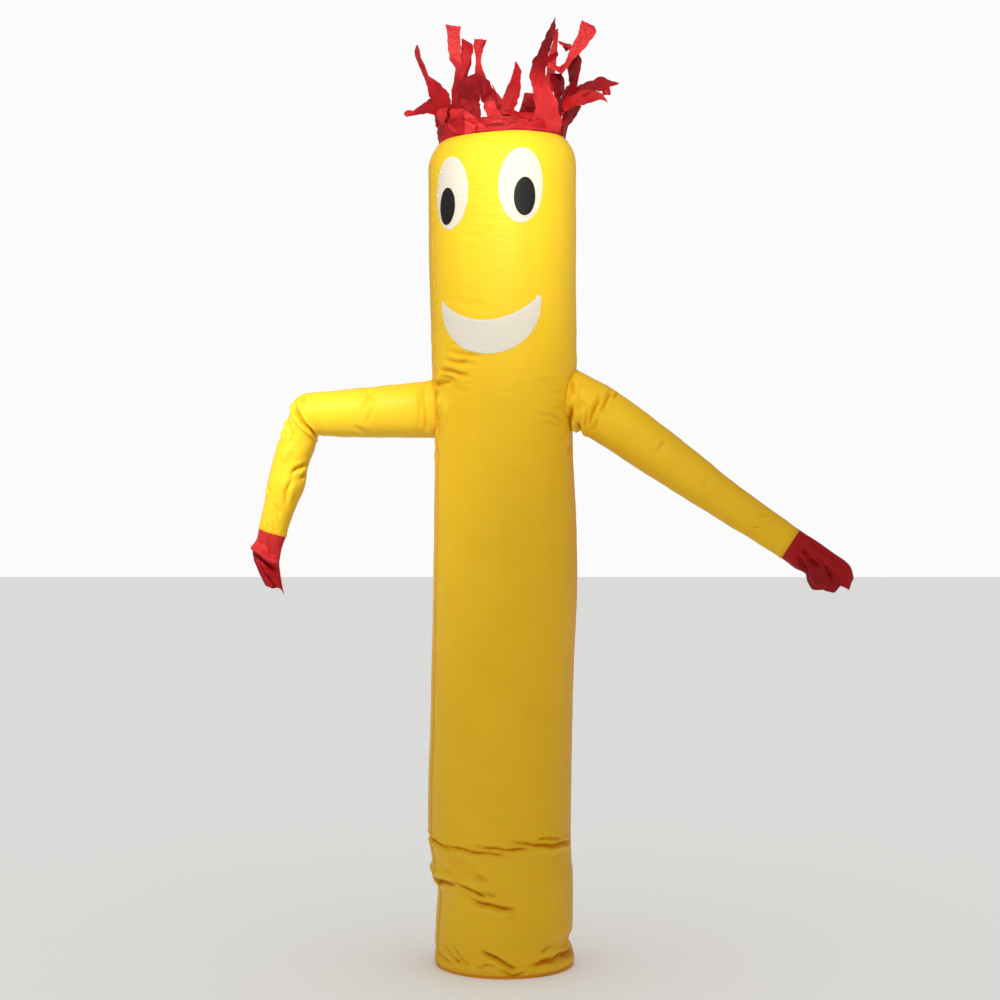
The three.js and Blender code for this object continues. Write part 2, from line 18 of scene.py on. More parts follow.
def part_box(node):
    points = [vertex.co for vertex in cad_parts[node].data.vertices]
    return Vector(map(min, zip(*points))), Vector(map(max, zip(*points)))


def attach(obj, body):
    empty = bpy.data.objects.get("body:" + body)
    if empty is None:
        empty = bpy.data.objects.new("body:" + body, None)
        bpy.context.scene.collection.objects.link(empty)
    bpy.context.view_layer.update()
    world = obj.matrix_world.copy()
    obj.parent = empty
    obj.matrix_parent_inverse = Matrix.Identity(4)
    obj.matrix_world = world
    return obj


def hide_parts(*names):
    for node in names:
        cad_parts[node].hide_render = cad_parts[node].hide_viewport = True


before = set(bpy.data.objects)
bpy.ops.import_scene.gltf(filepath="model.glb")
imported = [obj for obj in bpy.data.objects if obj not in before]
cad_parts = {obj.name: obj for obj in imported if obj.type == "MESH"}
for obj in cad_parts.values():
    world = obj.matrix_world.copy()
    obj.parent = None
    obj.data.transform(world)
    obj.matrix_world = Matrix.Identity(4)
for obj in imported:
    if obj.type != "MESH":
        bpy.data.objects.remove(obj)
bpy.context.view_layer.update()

MM = 0.001
TUBE_LEFT_REACH = 239  # the widest place of the tube, left of its axis
AXIS = np.array([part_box("body_tube")[0][0] + TUBE_LEFT_REACH * MM, 0.0, 0.0])


def smooth(at, low, high):
    share = np.clip((at - low) / (high - low), 0.0, 1.0)
    return share * share * (3 - 2 * share)


def blob(distance, half):
    return np.exp(-((distance / half) ** 2))


def noise_at(spots):
    return np.array([noise.noise(Vector(spot)) for spot in spots])


def unit(vectors):
    return vectors / np.maximum(np.linalg.norm(vectors, axis=-1), 1e-6)[..., None]


def distances(points):
    """How far along a line each of its points lies."""
    return np.concatenate([[0], np.cumsum(np.linalg.norm(np.diff(points, axis=0), axis=1))])


def srgb(hex_colour):
    values = [int(hex_colour[i : i + 2], 16) / 255 for i in (1, 3, 5)]
    return [v / 12.92 if v <= 0.04045 else ((v + 0.055) / 1.055) ** 2.4 for v in values] + [1.0]


# %% [markdown]
# ## Camera, floor and light
#
# The camera stands six metres in front, level, a little left of the axis and at about half
# the figure's height, so that its lens maps 3.17 mm at the axis to a thousandth of the picture.
# Narrow soft lamps in front brighten the head and the sleeves and leave the foot darker. A warm
# bounce comes from the right, and a wide fill and a pale sky keep the shaded side open. The floor
# has a light of its own, so that it stays pale and even.

# %% Camera, floor and lights
CAMERA = {"distance": 6000, "left_of_axis": 11, "height": 1464.5, "frame_width": 3170, "sensor": 36}
camera = bpy.data.objects.new("camera", bpy.data.cameras.new("camera"))
camera.data.sensor_width = CAMERA["sensor"]
camera.data.lens = CAMERA["sensor"] * CAMERA["distance"] / CAMERA["frame_width"]
camera_x = AXIS[0] - CAMERA["left_of_axis"] * MM
camera.location = (camera_x, -CAMERA["distance"] * MM, CAMERA["height"] * MM)
camera.rotation_euler = (math.radians(90), 0, 0)
bpy.context.scene.collection.objects.link(camera)
bpy.context.scene.camera = camera
spared_floor = bpy.data.collections.new("spared floor")


def soft_light(name, place, aim, size, power, hex_colour, spread):
    """A round lamp that lights everything but the floor. Power is in watts, spread in degrees."""
    light = bpy.data.objects.new(name, bpy.data.lights.new(name, "AREA"))
    light.data.shape = "DISK"
    light.data.size = size
    light.data.energy = power
    light.data.spread = math.radians(spread)
    light.data.color = srgb(hex_colour)[:3]
    light.location = place
    light.rotation_euler = (Vector(aim) - Vector(place)).to_track_quat("-Z", "Y").to_euler()
    bpy.context.scene.collection.objects.link(light)
    light.light_linking.receiver_collection = spared_floor


soft_light("key", (0.2, -3.4, 3.5), (-0.12, 0, 2.5), 0.6, 3.7, "#faffee", 30)
soft_light("left sleeve key", (-1.55, -2.2, 3.5), (-0.76, 0.1, 1.5), 0.35, 1.95, "#fffdee", 24)
soft_light("right sleeve key", (1.3, -2.4, 3.2), (0.32, -0.1, 1.55), 0.5, 0.25, "#fffaf0", 26)
soft_light("warm bounce", (4.2, -0.6, 1.4), (0, 0, 1.4), 2.0, 3, "#ff9a3c", 90)
soft_light("fill", (-2.2, -3.4, 4.4), (-0.05, 0, 1.0), 1.0, 68, "#fff8ee", 180)

# An overcast sun that only the floor receives keeps it pale and even out to the horizon
OVERCAST = {"power": 1.5, "angle": 120}
overcast = bpy.data.objects.new("overcast", bpy.data.lights.new("overcast", "SUN"))
overcast.data.energy = OVERCAST["power"]
overcast.data.angle = math.radians(OVERCAST["angle"])
bpy.context.scene.collection.objects.link(overcast)
floor_only = bpy.data.collections.new("floor only")
overcast.light_linking.receiver_collection = floor_only

# A pale sky lights the figure evenly, and the lens sees it brighter, as a white studio wall
SKY_STRENGTH, WALL_STRENGTH = 0.36, 1.0
sky = bpy.data.worlds.new("pale sky")
sky.use_nodes = True
seen = sky.node_tree.nodes.new("ShaderNodeLightPath").outputs["Is Camera Ray"]
strength = sky.node_tree.nodes.new("ShaderNodeMapRange")
strength.inputs["To Min"].default_value = SKY_STRENGTH
strength.inputs["To Max"].default_value = WALL_STRENGTH
sky.node_tree.links.new(seen, strength.inputs["Value"])
background = sky.node_tree.nodes["Background"]
sky.node_tree.links.new(strength.outputs[0], background.inputs["Strength"])
background.inputs["Color"].default_value = srgb("#fbfbfb")
bpy.context.scene.world = sky
bpy.context.scene.view_settings.view_transform = "Standard"

FLOOR_HALF = 30.0
floor_mesh = bpy.data.meshes.new("floor")
floor_corners = [(x * FLOOR_HALF, y * FLOOR_HALF, 0) for x, y in ((-1, -1), (1, -1), (1, 1), (-1, 1))]
floor_mesh.from_pydata(floor_corners, [], [(0, 1, 2, 3)])
floor = bpy.data.objects.new("floor", floor_mesh)
bpy.context.scene.collection.objects.link(floor)
floor_only.objects.link(floor)
spared_floor.objects.link(floor)
spared_floor.collection_objects[0].light_linking.link_state = "EXCLUDE"

# %% [markdown]
# ## Cloths
#
# Air dancers are cut from coated nylon taffeta: a plain weave of fine flat threads, calendered so
# that it shines like satin, and stiff enough to keep small crackling wrinkles. Its threads are a
# quarter of a millimetre, too fine for a picture of the whole figure, so the weave is drawn at
# six millimetres. Long low noise across the tube makes the fine wrinkles that air pulls flat.
# UV maps hold real metres on the cloth, so every pattern follows the surface.

# %% Material helpers
WEAVE_MM = 6.0  # drawn pitch of the threads
WAVE_LENGTH = 0.31416  # length of a wave texture's period at scale 1
WEAVE_BUMP = {"Strength": 0.18, "Distance": 0.0007}
WRINKLES = (9.0, 70.0, 1.0)  # fine wrinkles in a metre, across the cloth and up it
WRINKLE_LOOK = {"Scale": 1.0, "Detail": 4.0, "Roughness": 0.6, "Distortion": 0.6}
WRINKLE_BUMP = {"Strength": 0.7, "Distance": 0.003}
TONES_IN_A_METRE = 7.0  # soft blotches of the light and the deep tone
TAFFETA_SHINE = {"Specular IOR Level": 0.16, "Sheen Weight": 0.01, "Sheen Roughness": 0.4}
# The hem is darker up to here, in metres, because its cloth lies double
HEM_FADE = {"From Min": 0.009, "From Max": 0.012, "To Min": 0.85, "To Max": 0.0}


def add(tree, kind, inputs=None, **settings):
    """Adds a node with its settings. An input that is a socket is linked, any other is a value."""
    made = tree.nodes.new(kind)
    for name, value in settings.items():
        setattr(made, name, value)
    for name, value in (inputs or {}).items():
        if isinstance(value, bpy.types.NodeSocket):
            tree.links.new(value, made.inputs[name])
        else:
            made.inputs[name].default_value = value
    return made


def new_material(name, values):
    """A material, its node tree and its shader, with uniform values on the shader's own sockets."""
    material = bpy.data.materials.new(name)
    material.use_nodes = True
    shader = material.node_tree.nodes["Principled BSDF"]
    for socket, value in values.items():
        shader.inputs[socket].default_value = value
    return material, material.node_tree, shader


def nylon(name, light, deep, roughness, hem=None, sides=None):
    """Coated nylon taffeta, woven and calendered: a satin shine broken by fine cross wrinkles.
    Its attribute of painted light and shade goes from -1, the painted lit colour full on, to 1, the
    painted shaded colour."""
    material, tree, shader = new_material(name, {"Roughness": roughness, **TAFFETA_SHINE})
    uv = add(tree, "ShaderNodeUVMap", uv_map="cloth").outputs["UV"]
    threads = {"Vector": uv, "Scale": WAVE_LENGTH / (WEAVE_MM * MM)}
    warp, weft = (add(tree, "ShaderNodeTexWave", threads, bands_direction=way).outputs[1] for way in "XY")
    weave = add(tree, "ShaderNodeMath", {0: warp, 1: weft}, operation="MULTIPLY").outputs[0]
    woven = add(tree, "ShaderNodeBump", {"Height": weave, **WEAVE_BUMP}).outputs[0]
    stretched = add(tree, "ShaderNodeMapping", {"Vector": uv, "Scale": WRINKLES}).outputs[0]
    fine = add(tree, "ShaderNodeTexNoise", {"Vector": stretched, **WRINKLE_LOOK}).outputs["Fac"]
    wrinkled = add(tree, "ShaderNodeBump", {"Height": fine, "Normal": woven, **WRINKLE_BUMP}).outputs[0]
    tree.links.new(wrinkled, shader.inputs["Normal"])
    blotches = {"Vector": uv, "Scale": TONES_IN_A_METRE, "Detail": 3.0}
    broad = add(tree, "ShaderNodeTexNoise", blotches).outputs["Fac"]
    dyes = [(broad, deep)]  # each lies over the ones before it, by its share
    if hem:
        height = add(tree, "ShaderNodeSeparateXYZ", {"Vector": uv}).outputs["Y"]
        dyes.append((add(tree, "ShaderNodeMapRange", {"Value": height, **HEM_FADE}).outputs[0], hem))
    # Painted light and shade: the painted lit colour shows at -1, the painted shaded colour at 1
    if sides:
        painted_shading = add(tree, "ShaderNodeAttribute", attribute_name="painted_shading").outputs["Fac"]
        for side, full in zip(sides, (-1.0, 1.0)):
            painted_share = {"Value": painted_shading, "From Max": full}
            dyes.append((add(tree, "ShaderNodeMapRange", painted_share).outputs[0], side))
    colour = srgb(light)
    for share, dye in dyes:
        blend = {"Factor": share, "A": colour, "B": srgb(dye)}
        colour = add(tree, "ShaderNodeMix", blend, data_type="RGBA").outputs["Result"]
    tree.links.new(colour, shader.inputs["Base Color"])
    return material


def plain(name, hex_colour, roughness):
    """An even material whose fine grain keeps it from looking wet."""
    material, tree, shader = new_material(name, {"Base Color": srgb(hex_colour), "Roughness": roughness})
    where = add(tree, "ShaderNodeTexCoord").outputs["Object"]
    grain = add(tree, "ShaderNodeTexNoise", {"Vector": where, "Scale": 40.0, "Detail": 4.0}).outputs["Fac"]
    rough = add(tree, "ShaderNodeBump", {"Height": grain, "Strength": 0.1, "Distance": 0.001})
    tree.links.new(rough.outputs[0], shader.inputs["Normal"])
    return material


# Each nylon has its light and deep tone, and then its painted lit colour and its painted shaded colour
YELLOW_PAINTED_LIT_AND_SHADED = ("#f7d93b", "#d4820c")
YELLOW = nylon("yellow nylon taffeta", "#f3c524", "#eab920", 0.45, hem="#dd8712", sides=YELLOW_PAINTED_LIT_AND_SHADED)
RED = nylon("red nylon taffeta", "#b3161b", "#a21117", 0.5, sides=("#cb3034", "#850b15"))
WHITE = nylon("white nylon taffeta", "#ddd5ca", "#d5ccc0", 0.5)
BLACK = nylon("black nylon taffeta", "#201d1c", "#191716", 0.5)
# Painted concrete, rolled: pale, matt and even
floor_mesh.materials.append(plain("pale floor", "#f0f0ee", 0.7))
# Spun polyester thread: rounder and duller than the cloth
THREAD_YELLOW = plain("yellow thread", "#e3ab1c", 0.6)
THREAD_WHITE = plain("white thread", "#f4efe6", 0.6)

# %% [markdown]
# ## Sheets from grids
#
# Each piece of cloth is a grid of points given by a rule, so one helper turns a grid into a mesh
# with its UV map, and another gives it a wall with the Solidify modifier, applied at once.

# %% Mesh helpers
CLOTH_MM, STRIP_MM = 1.2, 0.8
WALL_EDGE_DEG, STRIP_EDGE_DEG = 70, 24  # a wall's rim and a strip's ridges are sharp beyond these angles


def make_object(name, mesh, material):
    made = bpy.data.objects.new(name, mesh)
    mesh.materials.append(material)
    bpy.context.scene.collection.objects.link(made)
    return made


def grid_mesh(name, points, uvs, material, wrap=True, skip=None, pole=None):
    """A sheet through points[row, column], in millimetres from the tube's axis.
    uvs has one column more than points where the sheet wraps round."""
    rows, columns = points.shape[:2]
    r, c = np.meshgrid(np.arange(rows - 1), np.arange(columns if wrap else columns - 1), indexing="ij")
    if skip is not None:
        r, c = r[~skip], c[~skip]
    r, c = r.ravel(), c.ravel()
    beside = (c + 1) % columns
    low, high = r * columns, (r + 1) * columns
    faces = np.stack([low + c, low + beside, high + beside, high + c], 1).tolist()
    loop_uv = np.stack([uvs[r, c], uvs[r, c + 1], uvs[r + 1, c + 1], uvs[r + 1, c]], 1).reshape(-1, 2)
    vertices = points.reshape(-1, 3)
    if pole is not None:
        top = (rows - 1) * columns
        vertices = np.vstack([vertices, pole])
        around = np.arange(columns)
        faces += [[top + i, top + (i + 1) % columns, rows * columns] for i in around]
        fan = np.stack([uvs[-1, around], uvs[-1, around + 1], uvs[-1, around]], 1).reshape(-1, 2)
        loop_uv = np.vstack([loop_uv, fan])
    mesh = bpy.data.meshes.new(name)
    mesh.from_pydata((vertices * MM + AXIS).tolist(), [], faces)
    layer = mesh.uv_layers.new(name="cloth")
    layer.data.foreach_set("uv", (loop_uv * MM).ravel().astype(np.float32))
    mesh.validate()
    mesh.shade_smooth()
    return make_object(name, mesh, material)


def applied(piece):
    """The piece with its modifiers worked into the mesh, and none left."""
    graph = bpy.context.evaluated_depsgraph_get()
    mesh = bpy.data.meshes.new_from_object(piece.evaluated_get(graph))
    piece.modifiers.clear()
    piece.data = mesh
    return piece


def walled(piece, thickness=CLOTH_MM, sharp=WALL_EDGE_DEG):
    """The sheet with a wall, which goes in from its outside."""
    wall = piece.modifiers.new("wall", "SOLIDIFY")
    wall.thickness = thickness * MM
    wall.offset = -1
    applied(piece)
    piece.data.set_sharp_from_angle(angle=math.radians(sharp))
    return piece


# Painted light and shade on each point, which the cloth's material mixes in
def store_painted_shading(piece, values):
    layer = piece.data.attributes.new("painted_shading", "FLOAT", "POINT")
    layer.data.foreach_set("value", np.asarray(values, np.float32).ravel())


def drop_loose(piece):
    work = bmesh.new()
    work.from_mesh(piece.data)
    bmesh.ops.delete(work, geom=[v for v in work.verts if not v.link_faces], context="VERTS")
    work.to_mesh(piece.data)
    work.free()


# %% [markdown]
# ## Creases
#
# A crease is a line pressed into the blown-up cloth. It is given on the cloth laid out flat, as
# places to run through, with how deep it goes and half its width. It fades at both ends and
# wanders a little. Its bottom is a sharp V in a soft hollow, and low lips run along both sides:
# light from above leaves the V's upper wall dark and makes the lower one shine.

# %% Creases on a flat cloth
PRESSED = 1.8  # how much deeper the cloth is pressed than the tables say
END_FADE = 0.3  # share of a crease over which each end fades
WANDER = {"share": 0.3, "length": 13, "shift": 1.7}
# The section of a crease, in halves of its width
V_POWER, REACH = 1.2, 6
HOLLOW = {"share": 0.35, "half": 2.4}
LIP = {"share": 0.38, "at": 2.6, "half": 1.5}


def crease_push(creases, across, up, girth):
    """How far the creases push the cloth in at places across and up on it, in millimetres."""
    push = np.zeros(np.broadcast(across, up).shape)
    for number, (deep, half, *run) in enumerate(creases.values()):
        points = np.array([(deg / 360 * girth, z) for deg, z in run])
        middle = points[:, 0].mean()
        x = (across - middle + girth / 2) % girth + middle - girth / 2
        lengths = np.hypot(*(points[1:] - points[:-1]).T)
        nearest = np.full(push.shape, np.inf)
        share = np.zeros(push.shape)
        side = np.zeros(push.shape)
        travelled = 0.0
        for start, end, length in zip(points[:-1], points[1:], lengths):
            step = (end - start) / length
            dx, dy = x - start[0], up - start[1]
            along = np.clip(dx * step[0] + dy * step[1], 0, length)
            away = np.hypot(dx - along * step[0], dy - along * step[1])
            closer = away < nearest
            nearest = np.where(closer, away, nearest)
            share = np.where(closer, (travelled + along) / lengths.sum(), share)
            side = np.where(closer, np.sign(step[0] * dy - step[1] * dx), side)
            travelled += length
        phase = share * lengths.sum() / WANDER["length"] + number * WANDER["shift"]
        signed = np.abs(nearest * side + WANDER["share"] * half * np.sin(phase))
        fade = smooth(np.minimum(share, 1 - share), 0, END_FADE) * (nearest < REACH * half)
        valley = (1 - HOLLOW["share"]) * np.exp(-((signed / half) ** V_POWER))
        valley = valley + HOLLOW["share"] * blob(signed, HOLLOW["half"] * half)
        lip = LIP["share"] * blob(signed - LIP["at"] * half, LIP["half"] * half)
        push += PRESSED * deep * fade * (valley - lip)
    return push


# Painted shade in a crease's hollow and painted highlight on its lips: millimetres pressed in
# or out at which each starts and at which it is full
HOLLOW_PAINTED_SHADE = {"share": 0.5, "from": 2, "to": 16}
LIP_PAINTED_HIGHLIGHT = {"share": 0.3, "from": 1, "to": 6}


def painted_crease_shading(push):
    """Painted shade in a crease's hollow and painted highlight on its lips, as shares of the painted
    shaded colour.
    """
    hollow = HOLLOW_PAINTED_SHADE["share"] * smooth(push, HOLLOW_PAINTED_SHADE["from"], HOLLOW_PAINTED_SHADE["to"])
    return hollow - LIP_PAINTED_HIGHLIGHT["share"] * smooth(-push, LIP_PAINTED_HIGHLIGHT["from"], LIP_PAINTED_HIGHLIGHT["to"])


# %% [markdown]
# ## The body tube
#
# One sheet of yellow nylon, closed by an upright seam on the left and by the crown at the top.
# Air makes it round, so its sections are circles that follow the outline. The folds come where
# the figure leans on itself: a waist and a knee near the foot, gathers over the hem, and pulls
# that run to the sleeves.

# %% The tube's outline and creases
# Height, and the reach to the left and to the right of the axis
TUBE_OUTLINE = [
    (0, 214, 222), (22, 217, 223), (54, 214, 216), (76, 216, 206), (133, 214, 220), (247, 208, 220),
    (285, 230, 220), (323, 227, 217), (387, 236, 214), (450, 239, 214), (831, 230, 220),
    (1211, 223, 233), (1401, 220, 230), (1655, 217, 220), (1908, 227, 233), (2255, 235, 230),
    (2515, 237, 230),
]
CROWN = {"base": 2515, "height": 158, "calm": 0.3}
HEM_REST = 14  # over this height the folds fade out towards the floor, where the hem lies flat
HEAD_TILT = {"slope": 0.042, "from": 2300, "to": 2560}
TUBE_GIRTH = 2 * math.pi * 233.5
# A crease has its depth, half its width, and places as (degrees from the front, height)
TUBE_CREASES = {
    "waist, far left": (8, 4.5, (-98, 402), (-80, 408), (-62, 397), (-47, 387), (-33, 368)),
    "waist, left": (7.5, 4.5, (-62, 402), (-41, 394), (-18, 385), (3, 383), (10, 370), (16, 357)),
    "waist, front": (8, 4, (-28, 407), (-10, 401), (6, 396), (20, 396), (34, 390)),
    "waist, right": (9, 5, (0, 418), (16, 414), (29, 407), (47, 396), (88, 394)),
    "above the waist": (6, 4, (23, 421), (43, 422), (64, 409)),
    "facet edge": (-3.5, 7, (26, 376), (45, 380), (64, 392)),
    "soft fold 1": (4.5, 9, (-56, 352), (-32, 344), (-12, 330)),
    "soft fold 2": (4.5, 9, (-42, 324), (-8, 300)),
    "soft fold 3": (3.6, 8, (-27, 317), (-2, 284)),
    "soft fold 4": (3.6, 8, (-66, 330), (-40, 306)),
    "knee, left": (13, 7, (-118, 262), (-92, 286), (-70, 274), (-50, 278), (-28, 282)),
    "knee, inner": (8, 4.5, (-42, 283), (-33, 276), (-24, 260), (-12, 240)),
    "knee, tip": (5, 3.5, (-22, 270), (-7, 247)),
    "knee, front": (9, 5, (-37, 243), (-23, 230), (-13, 222), (0, 214), (14, 200)),
    "knee, front, under": (-4, 7, (-31, 224), (-18, 204), (-4, 193), (11, 198)),
    "hem gather 1": (7, 4.5, (-84, 60), (-55, 33), (-44, 15)),
    "hem gather 2": (8, 4.5, (-62, 86), (-44, 44), (-33, 25)),
    "hem gather 3": (7, 4.5, (-48, 86), (-36, 46), (-27, 24)),
    "hem gather 4": (11, 5, (-22, 92), (-7, 62), (6, 35), (15, 16)),
    "hem gather 5": (5, 3.5, (-26, 26), (-13, 40), (-4, 32)),
    "hem gather 6": (6, 4, (-8, 32), (6, 11), (22, 19)),
    "hem gather 7": (13, 7, (14, 36), (35, 40), (54, 47), (92, 48)),
    "hem gather 8": (5, 4, (33, 68), (46, 92)),
    "hem gather 9": (5, 4, (42, 20), (63, 40)),
    "hem gather 10": (4, 4, (-70, 40), (-58, 14)),
    "hem notch, right": (9, 6, (108, 96), (78, 91), (96, 54)),
    "shoulder pull 1": (3.5, 4, (-54, 1936), (-40, 1948)),
    "shoulder pull 2": (5, 5, (-54, 1927), (-36, 1913), (-14, 1899)),
    "shoulder pull 3": (6, 4.5, (-56, 1896), (-39, 1889), (-22, 1880)),
    "shoulder pull 4": (8, 5, (-66, 1873), (-42, 1858), (-25, 1838)),
    "shoulder pull 5": (5, 4, (-62, 1851), (-50, 1842), (-41, 1829)),
    "shoulder pull 6": (8, 6, (-80, 1822), (-62, 1830), (-44, 1829)),
    "shoulder pull 7": (3, 5, (-46, 1812), (-28, 1798)),
    "bulge by the left arm": (-7, 26, (-68, 1800), (-60, 1760), (-52, 1720)),
    "under the left arm": (4, 4, (-72, 1674), (-62, 1687), (-56, 1694)),
    "below the left arm": (4, 8, (-92, 1640), (-74, 1612), (-66, 1584)),
    "by the eyes 1": (2.6, 4.5, (-32, 2340), (-12, 2322), (6, 2311)),
    "by the eyes 2": (2.2, 4, (-28, 2360), (0, 2353)),
    "by the eyes 3": (2.2, 5, (-28, 2298), (3, 2289)),
    "by the eyes 4": (1.8, 5, (-36, 2278), (-12, 2267)),
    "by the eyes 5": (1.6, 4, (-20, 2378), (-6, 2372)),
    "over the mouth 1": (3.2, 5, (-49, 2086), (-30, 2072), (-12, 2056)),
    "over the mouth 2": (2.4, 5, (-40, 2062), (-22, 2050), (0, 2032)),
    "over the mouth 3": (2, 5, (-34, 2106), (-8, 2094)),
    "left of the mouth": (3, 6, (-84, 2052), (-60, 2080)),
    "right arm pull 1": (4.8, 5, (64, 1704), (44, 1725), (24, 1730)),
    "right arm pull 2": (3.6, 5, (62, 1692), (44, 1699), (32, 1714)),
    "right arm pull 3": (3, 4, (58, 1801), (36, 1792)),
    "right arm pull 4": (3.6, 5, (56, 1813), (26, 1822)),
    "right arm pull 5": (3, 5, (54, 1836), (22, 1829)),
    "right arm pull 6": (3, 4, (60, 1764), (44, 1768)),
    "right arm pull 7": (3, 5, (62, 1738), (40, 1752)),
    "right arm pull 8": (3, 5, (66, 1672), (54, 1644)),
    "right arm pull 9": (2.4, 6, (64, 1862), (48, 1874)),
    "below the right arm": (4, 9, (82, 1650), (62, 1606)),
    "waist, back": (7.8, 8, (96, 402), (120, 412), (150, 385), (182, 398)),
    "waist, back left": (6.6, 8, (176, 384), (206, 392), (240, 372), (262, 392)),
    "knee, back": (7.2, 9, (124, 252), (160, 226), (205, 242)),
    "knee, back left": (6, 8, (196, 262), (226, 248), (252, 262)),
    "hem gather, back 1": (4.8, 7, (134, 92), (158, 36)),
    "hem gather, back 2": (4.8, 7, (206, 96), (184, 40)),
    "hem gather, back 3": (4.2, 7, (252, 84), (232, 34)),
    "hem gather, back 4": (3.6, 7, (170, 24), (196, 46), (224, 22)),
    "back pull 1": (3.6, 8, (118, 1850), (150, 1878)),
    "back pull 2": (3.6, 8, (114, 1730), (146, 1702)),
    "back pull 3": (3.6, 8, (236, 1820), (206, 1850)),
    "back pull 4": (3, 8, (238, 1700), (210, 1676)),
    "back of the head": (2.5, 6, (150, 2330), (190, 2318)),
}
SEAM = {"deg": -71, "ridge": 1.6, "ridge_half": 2.6, "groove": 1.2, "groove_at": 7, "groove_half": 4}
# Small cross puckers beside the seam, which are shallower below the head
PUCKER = {"depth": 1.5, "pitch": 15, "at": 12, "low_share": 0.35, "from": 2150, "to": 2300}
PUCKER_DRIFT = {"by": 2.4, "length": 47, "swell": 83}  # so that they come unevenly
# Fine and slow cross wrinkles: scale round the tube, length up it, place in the noise, height
RIPPLES = [(2.6, 34, 0.0, 0.9), (1.2, 210, 7.3, 2.2)]


def tube_reach(z):
    """The reach to the left and to the right, on curves that never overshoot the outline's rows."""
    xs, *sides = np.array(TUBE_OUTLINE, float).T
    at = np.clip(z, xs[0], xs[-1])
    i = np.clip(np.searchsorted(xs, at, side="right") - 1, 0, len(xs) - 2)
    width = xs[i + 1] - xs[i]
    t = (at - xs[i]) / width
    reaches = []
    for ys in sides:
        slopes = np.diff(ys) / np.diff(xs)
        product = slopes[1:] * slopes[:-1]
        inner = np.where(product > 0, 2 * product / (slopes[1:] + slopes[:-1] + 1e-9), 0)
        tangents = np.concatenate([[slopes[0]], inner, [0.0]])
        bend = tangents[i] * t * (1 - t) ** 2 + tangents[i + 1] * t * t * (t - 1)
        reaches.append(ys[i] * (1 + 2 * t) * (1 - t) ** 2 + ys[i + 1] * t * t * (3 - 2 * t) + width * bend)
    return reaches


def ripple(deg, z):
    """Fine cross wrinkles of taut cloth: smooth noise, long round the tube and short along it."""
    turn = np.radians(deg)
    total = 0
    for scale, length, place, height in RIPPLES:
        spots = np.stack([scale * np.sin(turn), -scale * np.cos(turn), z / length], -1)
        total = total + height * noise_at(spots.reshape(-1, 3) + place).reshape(np.shape(z))
    return total


def seam_line(deg, z):
    """The ridge of the upright seam, the grooves beside it and its small cross puckers."""
    away = np.abs(deg - SEAM["deg"]) / 360 * TUBE_GIRTH
    share = PUCKER["low_share"] + (1 - PUCKER["low_share"]) * smooth(z, PUCKER["from"], PUCKER["to"])
    drift = PUCKER_DRIFT["by"] * np.sin(z / PUCKER_DRIFT["length"])
    swell = np.sin(z / PUCKER_DRIFT["swell"] + 1) ** 2
    wave = np.sin(z / PUCKER["pitch"] * 2 * math.pi + drift) * swell
    puckers = PUCKER["depth"] * share * wave * blob(away - PUCKER["at"], PUCKER["at"])
    grooves = SEAM["groove"] * blob(away - SEAM["groove_at"], SEAM["groove_half"])
    return SEAM["ridge"] * blob(away, SEAM["ridge_half"]) - grooves + puckers


def tube_point(deg, z, out=0.0):
    """Places on the tube's cloth, degrees round from the front and up, out millimetres off it."""
    deg, z = np.broadcast_arrays(np.asarray(deg, float), np.asarray(z, float))
    left, right = tube_reach(z)
    rise = np.clip((z - CROWN["base"]) / CROWN["height"], 0, 1)
    shrink = np.sqrt(1 - rise * rise)
    across = deg / 360 * TUBE_GIRTH
    uneven = ripple(deg, z) + seam_line(deg, z) * shrink - crease_push(TUBE_CREASES, across, z, TUBE_GIRTH)
    uneven = uneven * smooth(z, 0, HEM_REST) * smooth(shrink, 0, CROWN["calm"])
    radius = (left + right) / 2 * shrink + uneven + out
    turn = np.radians(deg)
    x = (right - left) / 2 + radius * np.sin(turn)
    tilt = HEAD_TILT["slope"] * smooth(z, HEAD_TILT["from"], HEAD_TILT["to"])
    return np.stack([x, -radius * np.cos(turn), z + tilt * x + out * rise], -1)


print("tube creases", len(TUBE_CREASES))

# %% [markdown]
# ## Sleeves
#
# An arm is a tube too. Two edge curves, one on the elbow's side and one under it, give each
# section its middle and its width, and its depth follows. The sleeve begins where its cloth
# meets the body's, found by halving steps for every column, so the seam lies on the tube.

# %% Sleeve shapes
LEFT_HEADING, RIGHT_HEADING = -98, 80
# The outer and the inner edge as distance from the axis and height, and then depth over width
LEFT_ARM = [
    (140, 1853, 140, 1663, 0.88), (225, 1845, 220, 1664, 0.88), (300, 1837, 300, 1664, 0.92),
    (380, 1829, 380, 1665, 0.95), (465, 1822, 462, 1666, 0.96), (545, 1815, 535, 1668, 0.96),
    (605, 1810, 582, 1672, 0.96), (650, 1804, 600, 1673, 0.94), (677, 1783, 606, 1662, 0.94),
    (700, 1729, 610, 1648, 0.95), (727, 1658, 616, 1625, 0.96), (747, 1593, 637, 1572, 0.97),
    (764, 1529, 648, 1505, 0.96), (775, 1465, 676, 1441, 0.95), (788, 1403, 700, 1381, 0.9),
    (794, 1372, 710, 1346, 0.82),
]
RIGHT_ARM = [
    (140, 1905, 122, 1730, 0.86), (236, 1872, 206, 1688, 0.86), (290, 1844, 236, 1682, 0.9),
    (351, 1810, 268, 1665, 0.94), (426, 1757, 344, 1618, 0.96), (528, 1679, 448, 1549, 0.97),
    (629, 1597, 555, 1483, 0.97), (729, 1516, 662, 1416, 0.96), (830, 1441, 769, 1350, 0.92),
    (927, 1370, 873, 1286, 0.82),
]
